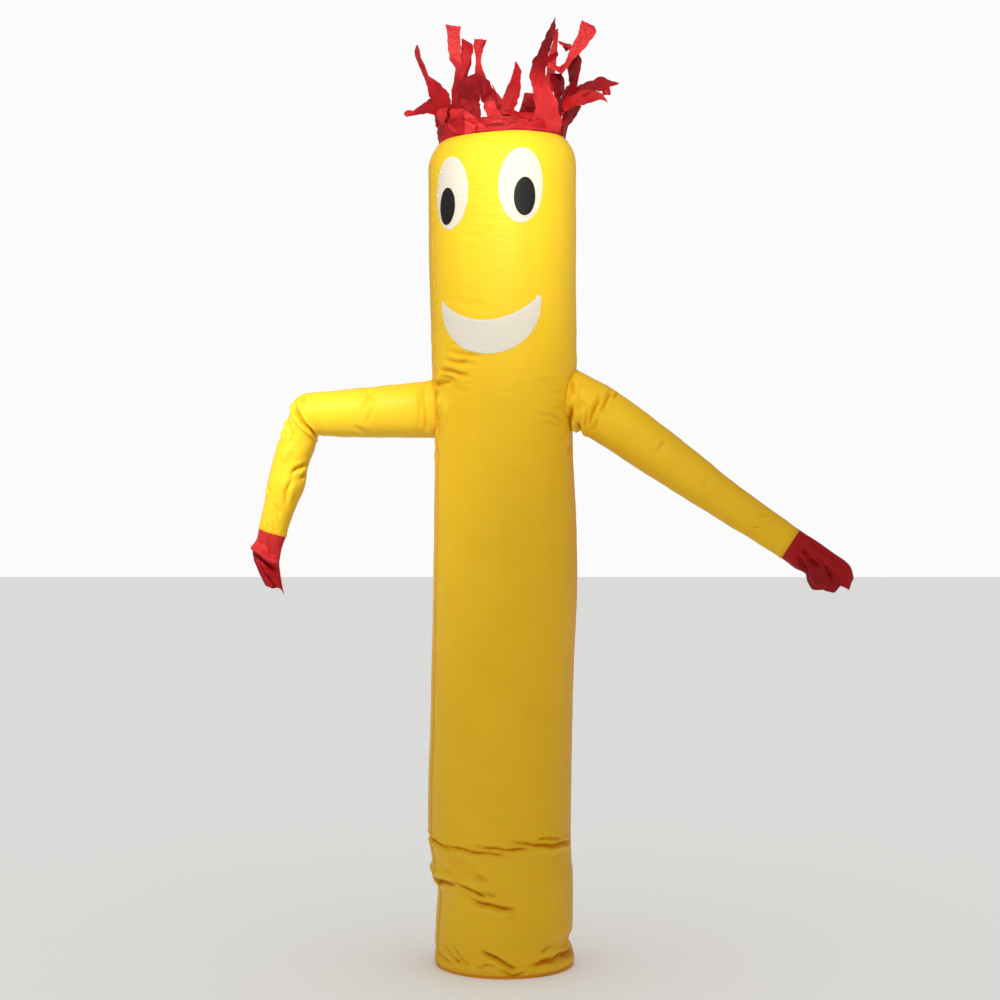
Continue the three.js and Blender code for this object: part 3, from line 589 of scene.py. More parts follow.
# Depth, half the width, and places as (degrees round from the outer edge, distance along)
LEFT_ARM_CREASES = {
    "root fold": (8, 5, (18, 112), (49, 107), (83, 106), (110, 101), (150, 92)),
    "root fold, inner": (5, 4, (24, 122), (66, 118), (100, 116), (140, 112)),
    "root fold, back": (6, 6, (200, 110), (260, 118), (330, 112)),
    "upper arm pucker": (5, 4.5, (24, 260), (58, 282), (92, 297)),
    "upper arm branch": (4, 4, (52, 286), (74, 250)),
    "upper arm pucker 2": (4, 4, (84, 268), (118, 283)),
    "upper arm, low": (3, 6, (120, 330), (150, 300)),
    "upper arm, top": (2.5, 6, (20, 180), (50, 196)),
    "elbow, main": (13, 5.5, (186, 498), (137, 499), (93, 511), (59, 513), (14, 502)),
    "elbow, upper": (6, 4.5, (16, 488), (40, 484), (62, 481)),
    "elbow, outer": (6, 5, (56, 535), (24, 533), (-4, 530)),
    "elbow, back": (9, 7, (186, 498), (230, 526), (280, 536)),
    "forearm, outside 1": (6, 4.5, (-8, 588), (24, 592), (54, 601)),
    "forearm, outside 2": (5, 4.5, (12, 566), (56, 583)),
    "forearm, outside 3": (6, 5, (-6, 541), (32, 548), (60, 558), (86, 583)),
    "forearm, front": (3.5, 6, (83, 540), (84, 606)),
    "forearm, front 2": (-3, 8, (80, 606), (83, 660)),
    "forearm, notch": (7, 5, (176, 640), (152, 655), (125, 671), (112, 700)),
    "forearm, notch 2": (6, 4.5, (176, 672), (144, 700)),
    "forearm, low": (4, 6, (118, 696), (112, 746), (124, 792)),
    "forearm, low 2": (4, 5, (16, 738), (58, 763)),
    "forearm, low 3": (4, 5, (76, 790), (118, 830)),
    "wrist 1": (3, 4, (50, 848), (78, 880)),
    "wrist 2": (3, 4, (88, 850), (120, 882)),
    "forearm, back": (5, 7, (220, 690), (270, 706), (320, 696)),
}
RIGHT_ARM_CREASES = {
    "root line": (5, 4, (44, 104), (69, 105), (92, 107)),
    "root pinch": (12, 7, (92, 114), (115, 109), (146, 106), (184, 112)),
    "root pinch, back": (6, 7, (200, 112), (260, 120), (320, 114)),
    "armpit": (9, 7, (204, 156), (176, 160), (146, 152), (128, 140)),
    "shoulder fold 1": (6, 5, (86, 166), (114, 170), (146, 175)),
    "shoulder fold 2": (8, 5, (44, 180), (84, 182), (114, 186), (140, 192)),
    "shoulder fold 3": (8, 4.5, (12, 196), (59, 201), (96, 206)),
    "shoulder fold 4": (6, 4, (0, 213), (50, 216)),
    "shoulder fold 5": (4, 4, (100, 206), (124, 210), (140, 206)),
    "shoulder, soft": (4, 8, (80, 142), (112, 126)),
    "mid arm pucker": (5, 4.5, (40, 416), (73, 421), (100, 423)),
    "mid arm pucker 2": (4, 4, (50, 436), (90, 432)),
    "low arm": (2.5, 6, (60, 604), (104, 592)),
    "wrist pull 1": (3.5, 4, (40, 806), (74, 790)),
    "wrist pull 2": (3.5, 4, (96, 812), (120, 790)),
    "back of the arm": (6, 7, (230, 300), (270, 330), (320, 322)),
    "back of the arm 2": (4, 7, (220, 520), (260, 534), (300, 520)),
}
LIMB_WIDTH, LIMB_STEPS = 140, 200
LIMB_RIPPLE = {"round": 1.5, "length": 40, "height": 1.6}
ROOT_SEARCH = {"until": 230.0, "halvings": 22}


def spline(points, t):
    """A centripetal Catmull-Rom curve through points[row], at shares t of the way by rows."""
    padded = np.vstack([2 * points[0] - points[1], points, 2 * points[-1] - points[-2]])
    at = np.clip(np.asarray(t, float), 0, 1) * (len(points) - 1)
    i = np.minimum(at.astype(int), len(points) - 2)
    f = (at - i)[..., None]
    p = [padded[i + k] for k in range(4)]
    steps = [np.linalg.norm(b - a, axis=-1) for a, b in zip(p, p[1:])]
    d0, d1, d2 = (np.maximum(np.sqrt(step), 1e-6)[..., None] for step in steps)
    m1 = ((p[1] - p[0]) / d0 - (p[2] - p[0]) / (d0 + d1) + (p[2] - p[1]) / d1) * d1
    m2 = ((p[2] - p[1]) / d1 - (p[3] - p[1]) / (d1 + d2) + (p[3] - p[2]) / d2) * d1
    return p[1] + f * m1 + f**2 * (3 * (p[2] - p[1]) - 2 * m1 - m2) + f**3 * (2 * (p[1] - p[2]) + m1 + m2)


class Limb:
    """A sleeve in an upright plane through the tube's axis."""

    def __init__(self, rows, heading, creases, seed):
        rows = np.array(rows, float)
        self.outer, self.inner, self.flats = rows[:, :2], rows[:, 2:4], rows[:, 4]
        self.creases, self.seed = creases, seed
        turn = math.radians(heading)
        self.along = np.array([math.sin(turn), -math.cos(turn), 0])
        self.side = np.array([self.along[1], -self.along[0], 0])
        self.front = -np.sign(self.side[1])  # the way round that goes over the front
        self.girth = math.pi * LIMB_WIDTH
        self.steps = np.linspace(0, 1, LIMB_STEPS)
        self.walked = distances((spline(self.outer, self.steps) + spline(self.inner, self.steps)) / 2)
        self.length = self.walked[-1]

    def walk(self, t):
        return np.interp(t, self.steps, self.walked)

    def share_at(self, distance):
        return np.interp(distance, self.walked, self.steps)

    def pressed(self, around, t):
        across = self.front * np.asarray(around) / 360 * self.girth
        return crease_push(self.creases, across, self.walk(t), self.girth)

    def point(self, around, t, out=0.0):
        around, t = np.broadcast_arrays(np.asarray(around, float), np.asarray(t, float))
        outer, inner = spline(self.outer, t), spline(self.inner, t)
        half = np.linalg.norm(outer - inner, axis=-1) / 2
        reach = (outer - inner) / np.maximum(2 * half, 1e-6)[..., None]
        last = len(self.flats) - 1
        depth = half * np.interp(t * last, np.arange(last + 1), self.flats)
        turn = np.radians(around)
        circle = [LIMB_RIPPLE["round"] * np.cos(turn), LIMB_RIPPLE["round"] * np.sin(turn)]
        spots = np.stack([*circle, self.walk(t) / LIMB_RIPPLE["length"] + self.seed], -1).reshape(-1, 3)
        push = self.pressed(around, t) - LIMB_RIPPLE["height"] * noise_at(spots).reshape(t.shape) - out
        in_plane = (outer + inner) / 2 + reach * ((half - push) * np.cos(turn))[..., None]
        place = in_plane[..., :1] * self.along + ((depth - push) * np.sin(turn))[..., None] * self.side
        place[..., 2] = in_plane[..., 1]
        return place

    def root_shares(self, around, out):
        """The share along at which each column comes out of the body tube."""
        low = np.zeros(len(around))
        high = np.full(len(around), self.share_at(ROOT_SEARCH["until"]))
        for _ in range(ROOT_SEARCH["halvings"]):
            mid = (low + high) / 2
            x, y, z = self.point(around, mid).T
            left, right = tube_reach(z)
            middle = (right - left) / 2
            deg = np.degrees(np.arctan2(x - middle, -y))
            wall = np.hypot(*(tube_point(deg, z, out)[:, :2] - np.stack([middle, 0 * x], 1)).T)
            inside = np.hypot(x - middle, y) < wall
            low, high = np.where(inside, mid, low), np.where(inside, high, mid)
        return high

    def cloth(self, name, around, points, walked, painted_shading, material):
        """The limb's sheet, which wraps round through points[row, column]."""
        u = np.append(around, 360) / 360 * self.girth
        up = walked[:, np.r_[0 : len(around), 0]]
        uvs = np.stack([np.broadcast_to(u, up.shape), up], -1)
        piece = grid_mesh(name, points[:, ::-1], uvs[:, ::-1], material)
        store_painted_shading(piece, painted_shading[:, ::-1])
        return walled(piece)


left_arm = Limb(LEFT_ARM, LEFT_HEADING, LEFT_ARM_CREASES, 3.0)
right_arm = Limb(RIGHT_ARM, RIGHT_HEADING, RIGHT_ARM_CREASES, 11.0)
print("arm lengths, mm:", round(left_arm.length), round(right_arm.length))

# %% Sleeve meshes
ARM_COLUMNS, ARM_ROWS = 96, 190
ROW_CROWDING = 1.25  # rows lie closer together near the root
ROOT_OUT = 0.3  # a sleeve starts this far off the tube
SEAM_GATHER = {"depth": 2.6, "reach": 16, "waves": 23, "wrist": 0.6, "start": 6}
SEAM_BEAD = {"height": 1.6, "half": 2.4, "start": 2}
SEAM_DOUBLE_AND_SHADE, SEAM_DOUBLE_AND_SHADE_REACH = 0.55, 7  # deeper where the cloth lies double at a seam, with painted shade of the seam on top
PAINTED_SUNLIGHT = -0.2  # painted sunlight: the left sleeve and the head are painted lighter, towards lemon


def bead(distance):
    return blob(distance - SEAM_BEAD["half"], SEAM_BEAD["half"])


def sleeve(name, limb, painted_sunlight):
    """A sleeve from the tube's side to the wrist, gathered at both seams."""
    around = np.arange(ARM_COLUMNS) / ARM_COLUMNS * 360
    start = limb.root_shares(around, ROOT_OUT)
    t = start + (1 - start) * np.linspace(0, 1, ARM_ROWS)[:, None] ** ROW_CROWDING
    walked = limb.walk(t)
    root, wrist = walked - limb.walk(start), limb.length - walked
    gathers = np.sin(SEAM_GATHER["waves"] * np.radians(around) + 2 * np.sin(3 * np.radians(around)))
    ends = np.exp(-root / SEAM_GATHER["reach"])
    ends = ends + SEAM_GATHER["wrist"] * np.exp(-wrist / SEAM_GATHER["reach"])
    beads = SEAM_BEAD["height"] * (bead(root) + bead(wrist))
    out = SEAM_GATHER["depth"] * gathers * ends * smooth(root, 0, SEAM_GATHER["start"])
    out = out + beads * smooth(root, 0, SEAM_BEAD["start"])
    points = limb.point(around[None, :], t, out)
    doubled_and_shaded = SEAM_DOUBLE_AND_SHADE * (np.exp(-root / SEAM_DOUBLE_AND_SHADE_REACH) + np.exp(-wrist / SEAM_DOUBLE_AND_SHADE_REACH))
    # Painted light and shade on the sleeve: doubled cloth and painted shade at the seams, painted crease
    # shade, painted sunlight
    painted_shading = doubled_and_shaded + painted_crease_shading(limb.pressed(around, t)) + painted_sunlight
    return limb.cloth(name, around, points, walked, painted_shading, YELLOW), points[0]


arm_cloth_left, left_root = sleeve("arm_cloth_left", left_arm, PAINTED_SUNLIGHT)
arm_cloth_right, right_root = sleeve("arm_cloth_right", right_arm, 0.0)
print("sleeve faces", len(arm_cloth_left.data.polygons), len(arm_cloth_right.data.polygons))

# %% [markdown]
# The tube's mesh has rows close together where it folds, and columns close together at the seam.
# Faces inside a sleeve's root are left out, and the hole's edge is moved on to the root's line.

# %% The tube's mesh
# From, to and how many
TUBE_COLUMNS = [(-180, -104, 22), (-104, 104, 106), (104, 180, 22)]
TUBE_ROWS = [(0, 450, 118), (450, 1590, 40), (1590, 1980, 76), (1980, 2515, 50)]
SEAM_COLUMNS_MM = [-10, -5, -2.5, 0, 2.5, 5, 10]
SEAM_CLEAR_MM = 11  # even columns keep this far from the seam
CROWN_ROWS = 26
HOLE_MARGIN = 1.6  # the hole's edge lies this far inside the sleeve's root
# Half width of the deeper line along the upright seam: doubled cloth and painted shade
SEAM_DOUBLE_AND_SHADE_HALF = 5
PAINTED_SUNLIGHT_HEIGHTS = (1700, 2250)  # the tube is painted lighter between them, as painted sunlight
# Painted shade on the flanks below the arms: side, share of the shaded colour, from and to these degrees
PAINTED_FLANK_SHADE = [(1, 0.45, 50, 88), (-1, 0.25, 60, 92)]
PAINTED_FLANK_SHADE_END = {"degrees": (120, 160), "heights": (1500, 2000)}


def even(rows):
    return np.concatenate([np.linspace(low, high, count, endpoint=False) for low, high, count in rows])


def hole_edges(root):
    """The root ring as distances round its middle, on the tube's cloth laid out flat."""
    deg = np.degrees(np.arctan2(root[:, 0], -root[:, 1]))
    flat = np.stack([deg / 360 * TUBE_GIRTH, root[:, 2]], 1)
    middle = flat.mean(0)
    spread = flat - middle
    angle = np.arctan2(spread[:, 1], spread[:, 0])
    order = np.argsort(angle)
    return middle, angle[order], np.hypot(*spread.T)[order] - HOLE_MARGIN


def touching(faces):
    """The vertices that touch any of the faces, both by row and column."""
    touched = np.zeros((len(faces) + 1, faces.shape[1]), bool)
    for row in (0, 1):
        for col in (0, 1):
            touched[row : row + len(faces)] |= np.roll(faces, col, 1)
    return touched


columns = even(TUBE_COLUMNS)
columns = columns[np.abs(columns - SEAM["deg"]) > SEAM_CLEAR_MM / TUBE_GIRTH * 360]
columns = np.sort(np.append(columns, SEAM["deg"] + np.array(SEAM_COLUMNS_MM) / TUBE_GIRTH * 360))
crown_rise = np.sin(np.linspace(0, math.pi / 2, CROWN_ROWS, endpoint=False))
heights = np.append(even(TUBE_ROWS), CROWN["base"] + CROWN["height"] * crown_rise)
deg_grid, z_grid = np.meshgrid(columns, heights)
skip = np.zeros((len(heights) - 1, len(columns)), bool)
for root in (left_root, right_root):
    middle, angles, reach = hole_edges(root)
    x, y = deg_grid / 360 * TUBE_GIRTH - middle[0], z_grid - middle[1]
    angle = np.arctan2(y, x)
    edge = np.interp(angle, angles, reach, period=2 * math.pi)
    corner = edge - np.hypot(x, y) > 0
    beside = np.roll(corner, -1, 1)
    inside = corner[:-1] & corner[1:] & beside[:-1] & beside[1:]
    skip |= inside
    rim = touching(inside) & touching(~inside)
    deg_grid = np.where(rim, (middle[0] + edge * np.cos(angle)) / TUBE_GIRTH * 360, deg_grid)
    z_grid = np.where(rim, middle[1] + edge * np.sin(angle), z_grid)

tube_points = tube_point(deg_grid, z_grid)
across = deg_grid / 360 * TUBE_GIRTH
tube_uv = np.stack([across, z_grid], -1)
tube_uv = np.concatenate([tube_uv, tube_uv[:, :1] + [TUBE_GIRTH, 0]], 1)
crown_point = tube_point(np.array([0.0]), np.array([CROWN["base"] + CROWN["height"]]))
crown_point[0, :2] = tube_points[-1, :, 0].mean(), 0
tube_cloth = grid_mesh("tube_cloth", tube_points, tube_uv, YELLOW, skip=skip, pole=crown_point)
beside_seam = np.abs(deg_grid - SEAM["deg"]) / 360 * TUBE_GIRTH
# Painted light and shade on the tube: shade in the creases, doubled cloth and shade at the seam, sunlight
# on the head, shade on the flanks
tube_painted_shading = painted_crease_shading(crease_push(TUBE_CREASES, across, z_grid, TUBE_GIRTH))
tube_painted_shading = tube_painted_shading + SEAM_DOUBLE_AND_SHADE * blob(beside_seam, SEAM_DOUBLE_AND_SHADE_HALF)
tube_painted_shading = tube_painted_shading + PAINTED_SUNLIGHT * smooth(z_grid, *PAINTED_SUNLIGHT_HEIGHTS)
for side, share, start, full in PAINTED_FLANK_SHADE:
    shaded_flank = smooth(side * deg_grid, start, full) * (1 - smooth(side * deg_grid, *PAINTED_FLANK_SHADE_END["degrees"]))
    tube_painted_shading = tube_painted_shading + share * shaded_flank * (1 - smooth(z_grid, *PAINTED_FLANK_SHADE_END["heights"]))
store_painted_shading(tube_cloth, np.append(tube_painted_shading.ravel(), PAINTED_SUNLIGHT))
drop_loose(tube_cloth)
walled(tube_cloth)
print("tube faces", len(tube_cloth.data.polygons))

# %% [markdown]
# ## Hands
#
# Each hand is a red sleeve sewn to the wrist and left open. Little air reaches it, so it is flat
# and creased: the left one folds back on itself, and the right one is crumpled into a mitten.

# %% Hand meshes
LEFT_HAND = [
    (794, 1372, 710, 1346, 0.82), (806, 1325, 721, 1312, 0.66), (818, 1299, 727, 1286, 0.6),
    (806, 1262, 731, 1254, 0.58), (791, 1224, 728, 1220, 0.56), (774, 1190, 722, 1188, 0.54),
]
RIGHT_HAND = [
    (927, 1370, 873, 1286, 0.82), (974, 1339, 916, 1254, 0.68), (1034, 1298, 946, 1238, 0.6),
    (1080, 1264, 950, 1216, 0.56), (1087, 1238, 963, 1194, 0.52),
]
LEFT_HAND_CREASES = {
    "fold back": (-8, 9, (-6, 44), (16, 48), (79, 71), (117, 93), (176, 111)),
    "under the fold": (9, 8, (-6, 62), (14, 68), (75, 91), (112, 113), (176, 130)),
    "top streak": (3, 4, (38, 20), (54, 52)),
    "streak": (4, 4.5, (81, 12), (110, 55), (130, 84)),
    "low fold": (6, 6, (57, 95), (73, 133), (103, 169)),
    "left fold": (5, 6, (18, 75), (34, 102), (38, 160)),
    "tip fold": (4, 5, (143, 177), (99, 176), (80, 142)),
    "back fold": (6, 10, (200, 80), (270, 96), (340, 84)),
}
RIGHT_HAND_CREASES = {
    "ridge": (-5, 8, (49, 3), (66, 64), (81, 118), (62, 156)),
    "upper fold": (4, 6, (22, 12), (36, 75), (43, 127), (24, 164)),
    "low fold": (6, 7, (117, 7), (116, 51), (144, 94), (138, 141)),
    "lobe": (-5, 9, (134, 87), (131, 152), (120, 172)),
    "dark fold": (6, 5, (71, 53), (79, 98), (85, 144), (87, 172)),
    "mid fold": (5, 6, (78, 18), (88, 64), (107, 131)),
    "back fold": (6, 10, (220, 40), (270, 90), (330, 120)),
}
# How far the frayed end hangs over, and where the cloth folds back, at degrees round
LEFT_FRAY = [
    (0, 0), (40, 4), (70, 8), (100, 2), (130, 6), (160, 14), (180, 28), (205, 12), (230, 6), (300, 12),
    (360, 0),
]
RIGHT_FRAY = [
    (0, 10), (30, 24), (50, 44), (72, 22), (96, 38), (125, 18), (180, 2), (240, 16), (310, 24),
    (360, 10),
]
LEFT_FOLD = [(0, 50), (79, 80), (117, 102), (180, 120)]
RIGHT_FOLD = [(0, 190), (60, 170), (84, 110), (100, 60), (180, 30)]
# Painted light and shade above the fold's line and beyond it, where the hand is painted darker
LEFT_HAND_PAINTED_SHADING, RIGHT_HAND_PAINTED_SHADING = (-0.8, 0.35), (0.1, 0.7)
HAND_COLUMNS, HAND_ROWS = 96, 56
HAND_GATHER = {"depth": 1.8, "waves": 19, "reach": 12, "start": 4}
FRAY_FROM = 0.55  # share of the hand from which its end hangs over
SEWN_APART = 0.4  # between the wrist and the hand's first row
PAINTED_SHADE_SETS_IN = (-6, 8)  # beyond the fold's line, the places between which the painted shade sets in


def hand(name, limb, fray, fold, painted_tones):
    """A hand of one sleeve. Beyond the fold's line its cloth is painted darker, as painted shade."""
    around = np.arange(HAND_COLUMNS) / HAND_COLUMNS * 360
    t = np.broadcast_to(np.linspace(0, 1, HAND_ROWS)[:, None], (HAND_ROWS, HAND_COLUMNS))
    walked = limb.walk(t)
    gathers = np.sin(HAND_GATHER["waves"] * np.radians(around) + 1.5 * np.sin(2 * np.radians(around)))
    out = HAND_GATHER["depth"] * gathers * np.exp(-walked / HAND_GATHER["reach"])
    out = out * smooth(walked, 0, HAND_GATHER["start"])
    points = limb.point(around[None, :], t, out)
    drop = np.interp(limb.front * around % 360, *zip(*fray))
    points = points + unit(points[-1] - points[-3]) * (drop * smooth(t, FRAY_FROM, 1.0))[..., None]
    points[0] += SEWN_APART * unit(points[1] - points[0])
    below = walked - np.interp(np.abs((limb.front * around + 180) % 360 - 180), *zip(*fold))
    painted_shading = painted_tones[0] + (painted_tones[1] - painted_tones[0]) * smooth(below, *PAINTED_SHADE_SETS_IN)
    return limb.cloth(name, around, points, walked, painted_shading, RED)


left_hand = Limb(LEFT_HAND, LEFT_HEADING, LEFT_HAND_CREASES, 21.0)
right_hand = Limb(RIGHT_HAND, RIGHT_HEADING, RIGHT_HAND_CREASES, 31.0)
hand_cloth_left = hand("hand_cloth_left", left_hand, LEFT_FRAY, LEFT_FOLD, LEFT_HAND_PAINTED_SHADING)
hand_cloth_right = hand("hand_cloth_right", right_hand, RIGHT_FRAY, RIGHT_FOLD, RIGHT_HAND_PAINTED_SHADING)
print("hand faces", len(hand_cloth_left.data.polygons))

# %% [markdown]
# ## Hair
#
# A red band is sewn round the crown, and its upper part is cut into streamers that the air blows
# about. The front streamers are given by their two edges, row by row from the band up, so their
# folds and their cut ends fall where the wind has put them. The ones at the back are strips that
# run between places. Small crumples come from a fixed seed, as stiff taffeta never lies smooth.

# %% Hair shapes
BAND = {"inner": 200.2, "base": 2595, "slope": 0.05, "height": 78, "flare": 9, "root_rise": 40}
BAND_MIDDLE = -3.5  # across, from the tube's axis
BAND_OUTSIDE = 205  # radius that the streamers' roots are sewn to
# A streamer first gives from root to tip its painted light and shade: -1 the painted lit red, 1 the
# painted shaded red. Then each row holds its left and its right edge, each as x, y and z from the axis.
RIBBONS = {
    "far left": [
        (0.9, 0.1, 0.7), (-210, -30, 2620, -177, -95, 2605), (-220, -40, 2674, -160, -100, 2679),
        (-234, -50, 2729, -166, -96, 2726), (-243, -62, 2775, -201, -84, 2767),
        (-249, -70, 2787, -235, -66, 2796), (-262, -70, 2820, -246, -62, 2827),
        (-277, -64, 2852, -259, -66, 2854), (-280, -60, 2872, -263, -64, 2874),
        (-274, -62, 2891, -269, -60, 2893),
    ],
    "small left": [
        (0.7, 0.6, -0.4), (-203, -50, 2714, -207, -60, 2665), (-233, -30, 2728, -230, -72, 2675),
        (-265, -28, 2705, -264, -50, 2675), (-285, -30, 2691, -283, -34, 2676),
        (-297, -30, 2696, -296, -26, 2675), (-306, -28, 2694, -305, -30, 2671),
        (-314, -26, 2686, -313, -26, 2680),
    ],
    "broad": [
        (0.6, 0.5, -0.9, -1), (-159, -105, 2639, -135, -125, 2630), (-164, -90, 2706, -144, -110, 2694),
        (-162, -84, 2746, -143, -100, 2743), (-155, -84, 2785, -127, -120, 2777),
        (-150, -90, 2811, -122, -126, 2805), (-168, -104, 2833, -132, -116, 2839),
        (-175, -110, 2891, -134, -104, 2897), (-178, -104, 2946, -135, -96, 2942),
    ],
    "flap": [
        (-0.5, -0.7, 0.1), (-135, -110, 2777, -120, -124, 2790), (-133, -106, 2822, -115, -136, 2811),
        (-134, -96, 2860, -99, -138, 2842), (-132, -90, 2887, -92, -120, 2864),
        (-130, -86, 2909, -98, -104, 2886),
    ],
    "flared": [
        (0.3, -0.4, -0.7), (-94, -120, 2762, -50, -135, 2762), (-90, -126, 2791, -66, -136, 2803),
        (-87, -122, 2825, -70, -128, 2824), (-88, -116, 2851, -67, -126, 2851),
        (-94, -118, 2875, -61, -104, 2872), (-91, -112, 2900, -54, -96, 2900),
    ],
    "flared corner": [
        (0.7,), (-69, -100, 2890, -52, -92, 2902), (-66, -104, 2871, -57, -110, 2880),
    ],
    "dark panel, left": [
        (1, 0.9), (-115, -150, 2625, -76, -160, 2623), (-126, -120, 2680, -69, -150, 2671),
        (-133, -112, 2716, -76, -146, 2694), (-143, -130, 2746, -73, -160, 2714),
        (-140, -146, 2760, -77, -176, 2750), (-124, -152, 2769, -88, -178, 2777),
    ],
    "dark panel, right": [
        (0.8, 0.95), (-48, -190, 2612, -4, -192, 2614), (-50, -160, 2645, -6, -160, 2654),
        (-56, -140, 2680, -10, -146, 2693), (-66, -150, 2697, -25, -136, 2723),
        (-72, -160, 2716, -30, -138, 2735), (-78, -172, 2746, -43, -150, 2758),
        (-89, -176, 2778, -64, -160, 2774),
    ],
    "crumple 1": [
        (-0.6,), (-46, -200, 2618, -4, -200, 2622), (-49, -186, 2644, -6, -188, 2653),
        (-62, -166, 2674, -22, -182, 2669), (-57, -180, 2689, -28, -160, 2698),
    ],
    "string": [
        (0.2,), (-11, -150, 2693, -8, -150, 2690), (-25, -146, 2723, -23, -146, 2727),
        (-38, -140, 2752, -32, -142, 2747),
    ],
    "pointed": [
        (0.1, 0.4, 0.2), (-13, -186, 2618, 31, -186, 2623), (-10, -182, 2667, 31, -196, 2654),
        (-6, -176, 2695, 38, -198, 2676), (2, -172, 2715, 49, -186, 2709),
        (18, -170, 2754, 51, -196, 2746), (31, -172, 2792, 54, -190, 2783),
        (36, -176, 2814, 39, -178, 2813),
    ],
    "curve": [
        (-0.4, -0.7, -0.8, 0.7, 1, 0.8), (18, -200, 2605, 189, -110, 2599),
        (61, -196, 2630, 181, -120, 2631), (90, -186, 2650, 173, -126, 2659),
        (98, -176, 2673, 172, -130, 2683), (95, -168, 2699, 164, -126, 2708),
        (88, -164, 2729, 151, -122, 2738), (82, -162, 2753, 139, -128, 2761),
        (83, -170, 2780, 129, -140, 2780), (90, -186, 2810, 133, -136, 2807),
        (104, -196, 2832, 139, -140, 2834), (120, -204, 2864, 151, -150, 2879),
        (132, -206, 2891, 159, -156, 2918), (142, -200, 2912, 160, -164, 2936),
        (157, -176, 2947, 161, -172, 2950),
    ],
    "curve, prong": [
        (0.6, 0.3), (133, -130, 2839, 135, -128, 2822), (152, -116, 2851, 156, -100, 2836),
        (166, -100, 2866, 171, -96, 2849), (164, -110, 2882, 172, -76, 2862),
    ],
    "curve, second tip": [
        (0.3, 0.5), (143, -120, 2898, 160, -110, 2890), (148, -112, 2921, 165, -120, 2906),
        (165, -116, 2928, 172, -106, 2933),
    ],
    "slant": [
        (-0.8, -1, -0.9), (168, -96, 2809, 181, -112, 2790), (189, -100, 2827, 205, -120, 2817),
        (198, -104, 2845, 218, -124, 2834), (206, -108, 2869, 235, -118, 2850),
        (225, -110, 2902, 261, -106, 2879), (237, -100, 2932, 282, -96, 2912),
        (242, -92, 2953, 290, -90, 2932), (247, -88, 2963, 281, -84, 2948),
    ],
    "slant, fold": [
        (-0.7, -0.8), (183, -96, 2812, 179, -112, 2790), (159, -110, 2819, 157, -126, 2799),
        (136, -118, 2825, 137, -112, 2811),
    ],
    "cross strip": [
        (0.2,), (169, -100, 2897, 174, -96, 2887), (190, -96, 2892, 193, -104, 2875),
        (210, -100, 2885, 207, -96, 2867),
    ],
    "cross strip, turned": [
        (-0.4,), (216, -94, 2878, 196, -60, 2871), (210, -100, 2885, 185, -70, 2886),
    ],
    "dark right": [
        (0.9, 1, 0.8), (180, -60, 2648, 203, -76, 2645), (190, -60, 2692, 205, -90, 2690),
        (194, -50, 2738, 224, -96, 2739), (207, -50, 2773, 229, -104, 2766),
        (201, -36, 2811, 235, -112, 2793), (196, -40, 2839, 242, -116, 2827),
        (207, -56, 2859, 235, -110, 2852),
    ],
    "dark middle": [
        (1,), (164, -100, 2665, 185, -60, 2673), (163, -110, 2701, 181, -50, 2729),
        (162, -116, 2710, 192, -40, 2746), (154, -120, 2743, 194, -40, 2770),
        (147, -116, 2768, 191, -44, 2794), (144, -110, 2793, 185, -50, 2805),
    ],
    "right arm, top": [
        (0.6, 0.9, 0.3), (198, -70, 2710, 204, -70, 2685), (204, -70, 2732, 211, -90, 2701),
        (229, -56, 2763, 233, -104, 2718), (264, -44, 2782, 269, -110, 2735),
        (305, -36, 2800, 307, -100, 2744), (336, -40, 2788, 332, -76, 2759),
        (362, -52, 2776, 363, -52, 2772),
    ],
    "right arm, low": [
        (0, -0.4, -0.6), (192, -86, 2707, 200, -90, 2667), (208, -110, 2721, 223, -90, 2691),
        (242, -116, 2737, 261, -84, 2703), (277, -104, 2743, 303, -84, 2716),
        (307, -90, 2735, 319, -84, 2711), (322, -84, 2717, 327, -80, 2705),
    ],
    "right arm, prong": [
        (-0.3, 0.2), (305, -90, 2752, 311, -76, 2730), (322, -80, 2756, 326, -90, 2729),
        (333, -76, 2759, 337, -74, 2734),
    ],
    "right triangle": [
        (0.8,), (186, -80, 2605, 196, -60, 2606), (188, -76, 2640, 207, -30, 2647),
        (187, -80, 2664, 231, -10, 2677), (190, -84, 2687, 247, 4, 2711),
        (200, -70, 2710, 250, 10, 2715),
    ],
    "front facet": [
        (-0.9,), (-125, -176, 2591, -87, -194, 2592), (-121, -176, 2630, -88, -198, 2597),
        (-120, -156, 2669, -77, -176, 2638),
    ],
    "arch": [
        (-0.2, -0.6), (-89, -204, 2580, 3, -206, 2585), (-78, -190, 2621, 35, -200, 2615),
        (-41, -184, 2636, 24, -190, 2641), (-23, -182, 2648, 10, -184, 2650),
    ],
    "bridge": [
        (0.2,), (-6, -190, 2663, -4, -196, 2647), (13, -188, 2664, 17, -200, 2646),
        (51, -184, 2658, 47, -198, 2640), (93, -182, 2653, 86, -194, 2634),
    ],
    "left crumple 1": [
        (-0.3,), (-176, -120, 2617, -141, -140, 2598), (-168, -112, 2655, -127, -140, 2632),
        (-166, -110, 2682, -123, -128, 2678),
    ],
    "left crumple 2": [
        (-0.5,), (-216, -60, 2648, -195, -90, 2632), (-221, -50, 2675, -176, -110, 2663),
        (-204, -70, 2690, -177, -96, 2690),
    ],
    "left crumple 3": [
        (0.5,), (-220, -40, 2622, -202, -70, 2607), (-209, -50, 2637, -184, -100, 2621),
        (-196, -70, 2646, -162, -110, 2647),
    ],
    "left crumple 4": [
        (0.2,), (-161, -130, 2600, -121, -160, 2590), (-157, -120, 2631, -118, -164, 2623),
        (-137, -130, 2654, -117, -150, 2654),
    ],
}
